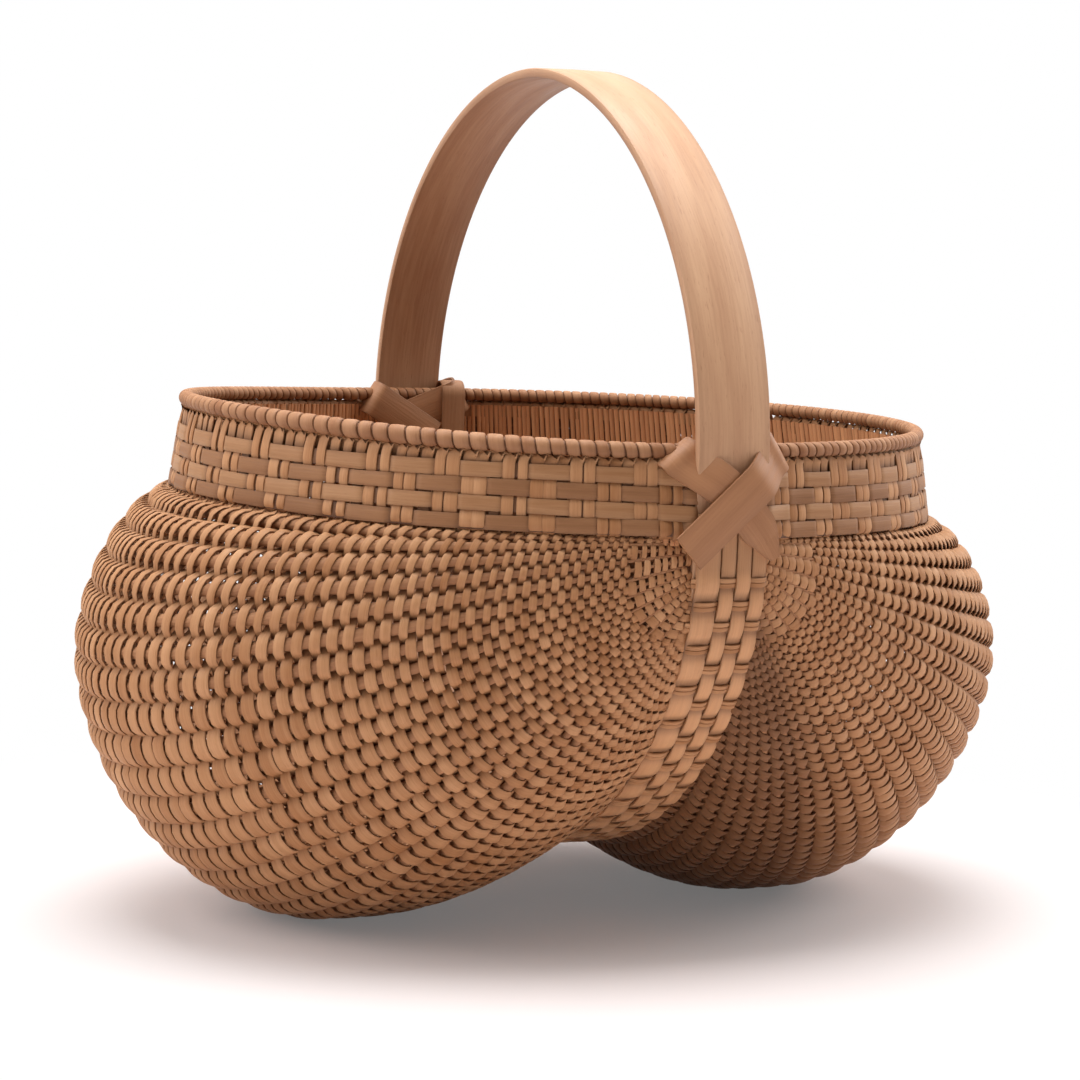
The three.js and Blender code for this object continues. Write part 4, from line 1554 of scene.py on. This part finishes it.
@dataclass
class EarStraps:
    """Two flat straps that lash the hoops at one ear, crossed outside and folded over the rim.

    The knots give each strap's line from its foot to its fold in millimetres, as distance along its
    lean and height. Folds are the slopes of the creases in degrees.
    """

    shape: BasketShape
    ear: Ear
    under_knots: tuple[Range, ...] = ((-14.6, 133.0), (-9.5, 141.5), (2.6, 154.4), (15.6, 162.8))
    over_knots: tuple[Range, ...] = ((-16.4, 135.0), (-5.5, 144.8), (5.4, 154.6), (16.2, 164.4))
    knot_easing: int = 12
    width: float = 12.8 * MM
    thickness: float = 1.0 * MM
    bevel: float = 0.25 * MM
    crown: float = 0.12 * MM
    base: float = 1.3 * MM
    rim_gap: float = 2.2 * MM
    fold_reach: float = 3.2 * MM
    front_folds: Range = (-37.0, -57.0)
    back_fold: float = -58.0
    front_inner: float = 20 * MM
    back_inner: float = 26 * MM
    point_share: float = 0.3
    point_width: float = 0.12
    point_power: float = 0.7
    turning_from: float = 0.72
    settled_by: float = 0.25
    leg_steps: int = 36
    fold_steps: int = 16

    def build(self) -> None:
        """Makes both straps, the upper one leaning to the right."""
        self._strap(Layer.UNDER, -1, self.under_knots)
        self._strap(Layer.OVER, 1, self.over_knots)

    def _strap(self, layer: Layer, lean: int, knots: tuple[Range, ...]) -> None:
        """Makes one strap.

        Args:
            layer: Its place in the crossing.
            lean: 1 if it leans to the right on its way up, otherwise -1.
            knots: Its line from its foot to its fold.
        """
        s = self.shape
        front = self.ear is Ear.FRONT
        lift = layer.value * (self.thickness + s.clearance)
        # The strap as a flat pattern: leg, fold and inner end
        flat_knots = np.array(knots) * MM
        run = run_along(flat_knots)
        part = np.linspace(0, 1, self.leg_steps)
        leg = [np.interp(part * run[-1], run, flat_knots[:, i]) for i in (0, 1)]
        leg = np.stack([eased(line, self.knot_easing) for line in leg], -1)
        crease = math.radians(self.front_folds[layer.value] if front else self.back_fold)
        axis = np.array([math.cos(crease), math.sin(crease)])
        ahead = np.array([-axis[1], axis[0]])
        heading = unit(np.gradient(leg, axis=0))
        slip, climb = heading[-1] @ axis, heading[-1] @ ahead
        homeward = axis * slip - ahead * climb
        turn = np.linspace(0, math.pi, self.fold_steps)[1:]
        back = np.linspace(0, 1, self.leg_steps // 2)[1:]
        inner = back[:, None] * (self.front_inner if front else self.back_inner)
        rise = self.fold_reach * np.sin(turn)[:, None]
        flat = np.concatenate([leg, leg[-1] + ahead * rise, leg[-1] + homeward * inner])
        turning = smooth(ramp(part, self.turning_from, 1.0))
        settling = ramp(back, 0.0, self.settled_by)
        square = np.stack([heading[:, 1], -heading[:, 0]], -1)
        settled = axis * (square[-1] @ axis) - ahead * (square[-1] @ ahead)
        flat_across = unit(np.concatenate([
            blend(square, axis, turning[:, None]),
            axis + 0 * rise,
            blend(axis, settled, settling[:, None]),
        ]))
        narrowing = [blend(1.0, climb, turning), 0 * turn + climb, blend(climb, 1.0, settling)]
        widths = self.width / np.concatenate(narrowing)
        if layer is Layer.UNDER:
            point = self.point_width + part / self.point_share
            widths[: len(leg)] *= np.clip(point, 0, 1) ** self.point_power
        # The pattern laid over the hoops
        girth = s.rim_slim + self.thickness / 2
        outer_y = s.hoop_radius + self.base + lift + self.thickness / 2
        brim_y = s.rim_half_width + girth + self.rim_gap
        inside = lift if front else self.thickness + s.clearance - lift
        inner_y = s.rim_half_width - girth - s.clearance - inside
        depth = (brim_y + inner_y) / 2 + (brim_y - inner_y) / 2 * np.cos(turn)
        y = np.concatenate([blend(outer_y, brim_y, turning), depth, 0 * back + inner_y])
        bow = np.concatenate([turning, 0 * turn + 1, 0 * back + 1])
        y = y - bow * s.rim_sag(flat[:, 0])
        x = lean * flat[:, 0]
        path = np.stack([x + s.middle, self.ear.value * y, flat[:, 1] + s.end_lift(x)], -1)
        across = np.stack([lean * flat_across[:, 0], 0 * x, flat_across[:, 1]], -1)
        across = across * (lean * -self.ear.value)
        normal = unit(np.cross(across, np.gradient(path, axis=0)))
        profile = flat_profile(self.width, self.thickness, self.bevel, self.crown)
        strips = StripMesh()
        strips.sweep(path, normal, widths, self.thickness, profile, across=across)
        ear, order = self.ear.name.lower(), layer.name.lower()
        strips.build(f"{ear}_strap_{order}", STRAP_OAK, (f"{ear}_ear_strap_{order}",), STRAP_CREASE)


# Studio


@dataclass(frozen=True)
class Lamp:
    """A soft square lamp, with the length of its side and its power in watts."""

    name: str
    place: Place
    aim: Place
    size: float
    power: float

    def hang(self) -> None:
        """Adds the lamp to the scene."""
        lamp = bpy.data.lights.new(self.name, "AREA")
        lamp.size = self.size
        lamp.energy = self.power
        made = bpy.data.objects.new(self.name, lamp)
        made.location = self.place
        made.rotation_mode = "QUATERNION"
        made.rotation_quaternion = (Vector(self.aim) - Vector(self.place)).to_track_quat("-Z", "Y")
        bpy.context.scene.collection.objects.link(made)


LAMPS = (
    Lamp("overhead_lamp", (0.0, 0.14, 1.4), (0, 0, 0.12), 1.2, 28.0),
    Lamp("left_lamp", (-1.25, 0.25, 0.95), (0, 0, 0.1), 1.2, 13.5),
    Lamp("right_lamp", (1.3, -0.1, 0.95), (0, 0, 0.1), 1.2, 14.0),
)
WHITE = (1.0, 1.0, 1.0, 1.0)


@dataclass
class Studio:
    """Pale floor, soft lamps and the camera at the photograph's angle."""

    middle: float
    yaw: float = -26.0
    pitch: float = 6.34
    roll: float = 2.06
    distance: float = 1.077
    target_x: float = -3.1 * MM
    target_z: float = 124.2 * MM
    lens: float = 105.07
    sensor: float = 36.0
    clip: Range = (0.01, 50.0)
    floor_size: float = 8.0
    floor_colour: Colour = (0.9, 0.82, 0.805)
    shadow_range: Range = (0.11, 0.31)
    shadow_veil: float = 0.14
    world_strength: float = 0.12

    def build(self) -> None:
        """Makes everything round the basket."""
        self._camera()
        self._floor()
        self._world()
        for lamp in LAMPS:
            lamp.hang()

    def _camera(self) -> None:
        """Places the camera."""
        yaw, pitch, roll = (math.radians(v) for v in (self.yaw, self.pitch, self.roll))
        level = Vector((math.cos(yaw), math.sin(yaw), 0))
        away = math.cos(pitch)
        back = Vector((math.sin(yaw) * away, -math.cos(yaw) * away, math.sin(pitch)))
        upright = back.cross(level)
        right = level * math.cos(roll) + upright * math.sin(roll)
        up = upright * math.cos(roll) - level * math.sin(roll)
        camera = bpy.data.objects.new("camera", bpy.data.cameras.new("camera"))
        bpy.context.scene.collection.objects.link(camera)
        camera.data.sensor_width = self.sensor
        camera.data.lens = self.lens
        camera.data.clip_start, camera.data.clip_end = self.clip
        turned = Matrix((right, up, back)).transposed().to_4x4()
        target = Vector((self.middle + self.target_x, 0, self.target_z))
        turned.translation = target + back * self.distance
        camera.matrix_world = turned
        bpy.context.scene.camera = camera

    def _floor(self) -> None:
        """Lays the floor, white to the eye with the basket's shadow on it."""
        half = self.floor_size / 2
        corners = [(-half, -half, 0), (half, -half, 0), (half, half, 0), (-half, half, 0)]
        mesh = bpy.data.meshes.new("floor")
        mesh.from_pydata(corners, [], [(0, 1, 2, 3)])
        material = bpy.data.materials.new("floor white")
        paint = Paint(material)
        diffuse = paint.node("ShaderNodeBsdfDiffuse", {}, {"Color": (*self.floor_colour, 1)})
        glow = paint.node("ShaderNodeEmission", {}, {"Color": WHITE, "Strength": 1.0})
        place = paint.node("ShaderNodeNewGeometry", {}, {}, "Position")
        away = paint.node("ShaderNodeVectorMath", {"operation": "LENGTH"}, {0: place}, "Value")
        far = away.spread(*self.shadow_range)
        share = paint.seen() * (self.shadow_veil + far * (1 - self.shadow_veil))
        paint.surface(paint.node("ShaderNodeMixShader", {}, {0: share, 1: diffuse, 2: glow}))
        mesh.materials.append(material)
        floor = bpy.data.objects.new("floor", mesh)
        bpy.context.scene.collection.objects.link(floor)

    def _world(self) -> None:
        """Sets a soft white surround that the camera sees as white."""
        world = bpy.data.worlds.new("studio")
        bpy.context.scene.world = world
        paint = Paint(world)
        soft, white = (
            paint.node("ShaderNodeBackground", {}, {"Color": WHITE, "Strength": strength})
            for strength in (self.world_strength, 1.0)
        )
        shader = paint.node("ShaderNodeMixShader", {}, {0: paint.seen(), 1: soft, 2: white})
        paint.surface(shader, "ShaderNodeOutputWorld")


def main() -> None:
    """Builds the pieces in order."""
    logging.basicConfig(level=logging.INFO, format="%(message)s")
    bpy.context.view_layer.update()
    bpy.context.scene.view_settings.view_transform = "Standard"
    rng = np.random.default_rng(SEED)
    low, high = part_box("handle_hoop")
    shape = BasketShape((low[0] + high[0]) / 2)
    left = Lobe(shape, Side.LEFT, reach=164.5 * MM, bulge_height=88 * MM)
    right = Lobe(shape, Side.RIGHT, reach=168 * MM, bulge_height=82 * MM)
    Studio(shape.middle).build()
    HandleHoop(shape).build()
    RimHoop(shape, rng).build()
    for lobe in (left, right):
        Collar(lobe, rng).build()
    LobeWeave(left, rng).build()
    # The right lobe's rows under the arch carry painted shade
    LobeWeave(right, rng, shelf_share=1.5, inner_share=1.45, inner_shade=0.85).build()
    Spine(shape, rng).build()
    for ear in Ear:
        EarStraps(shape, ear).build()


if __name__ == "__main__":
    main()
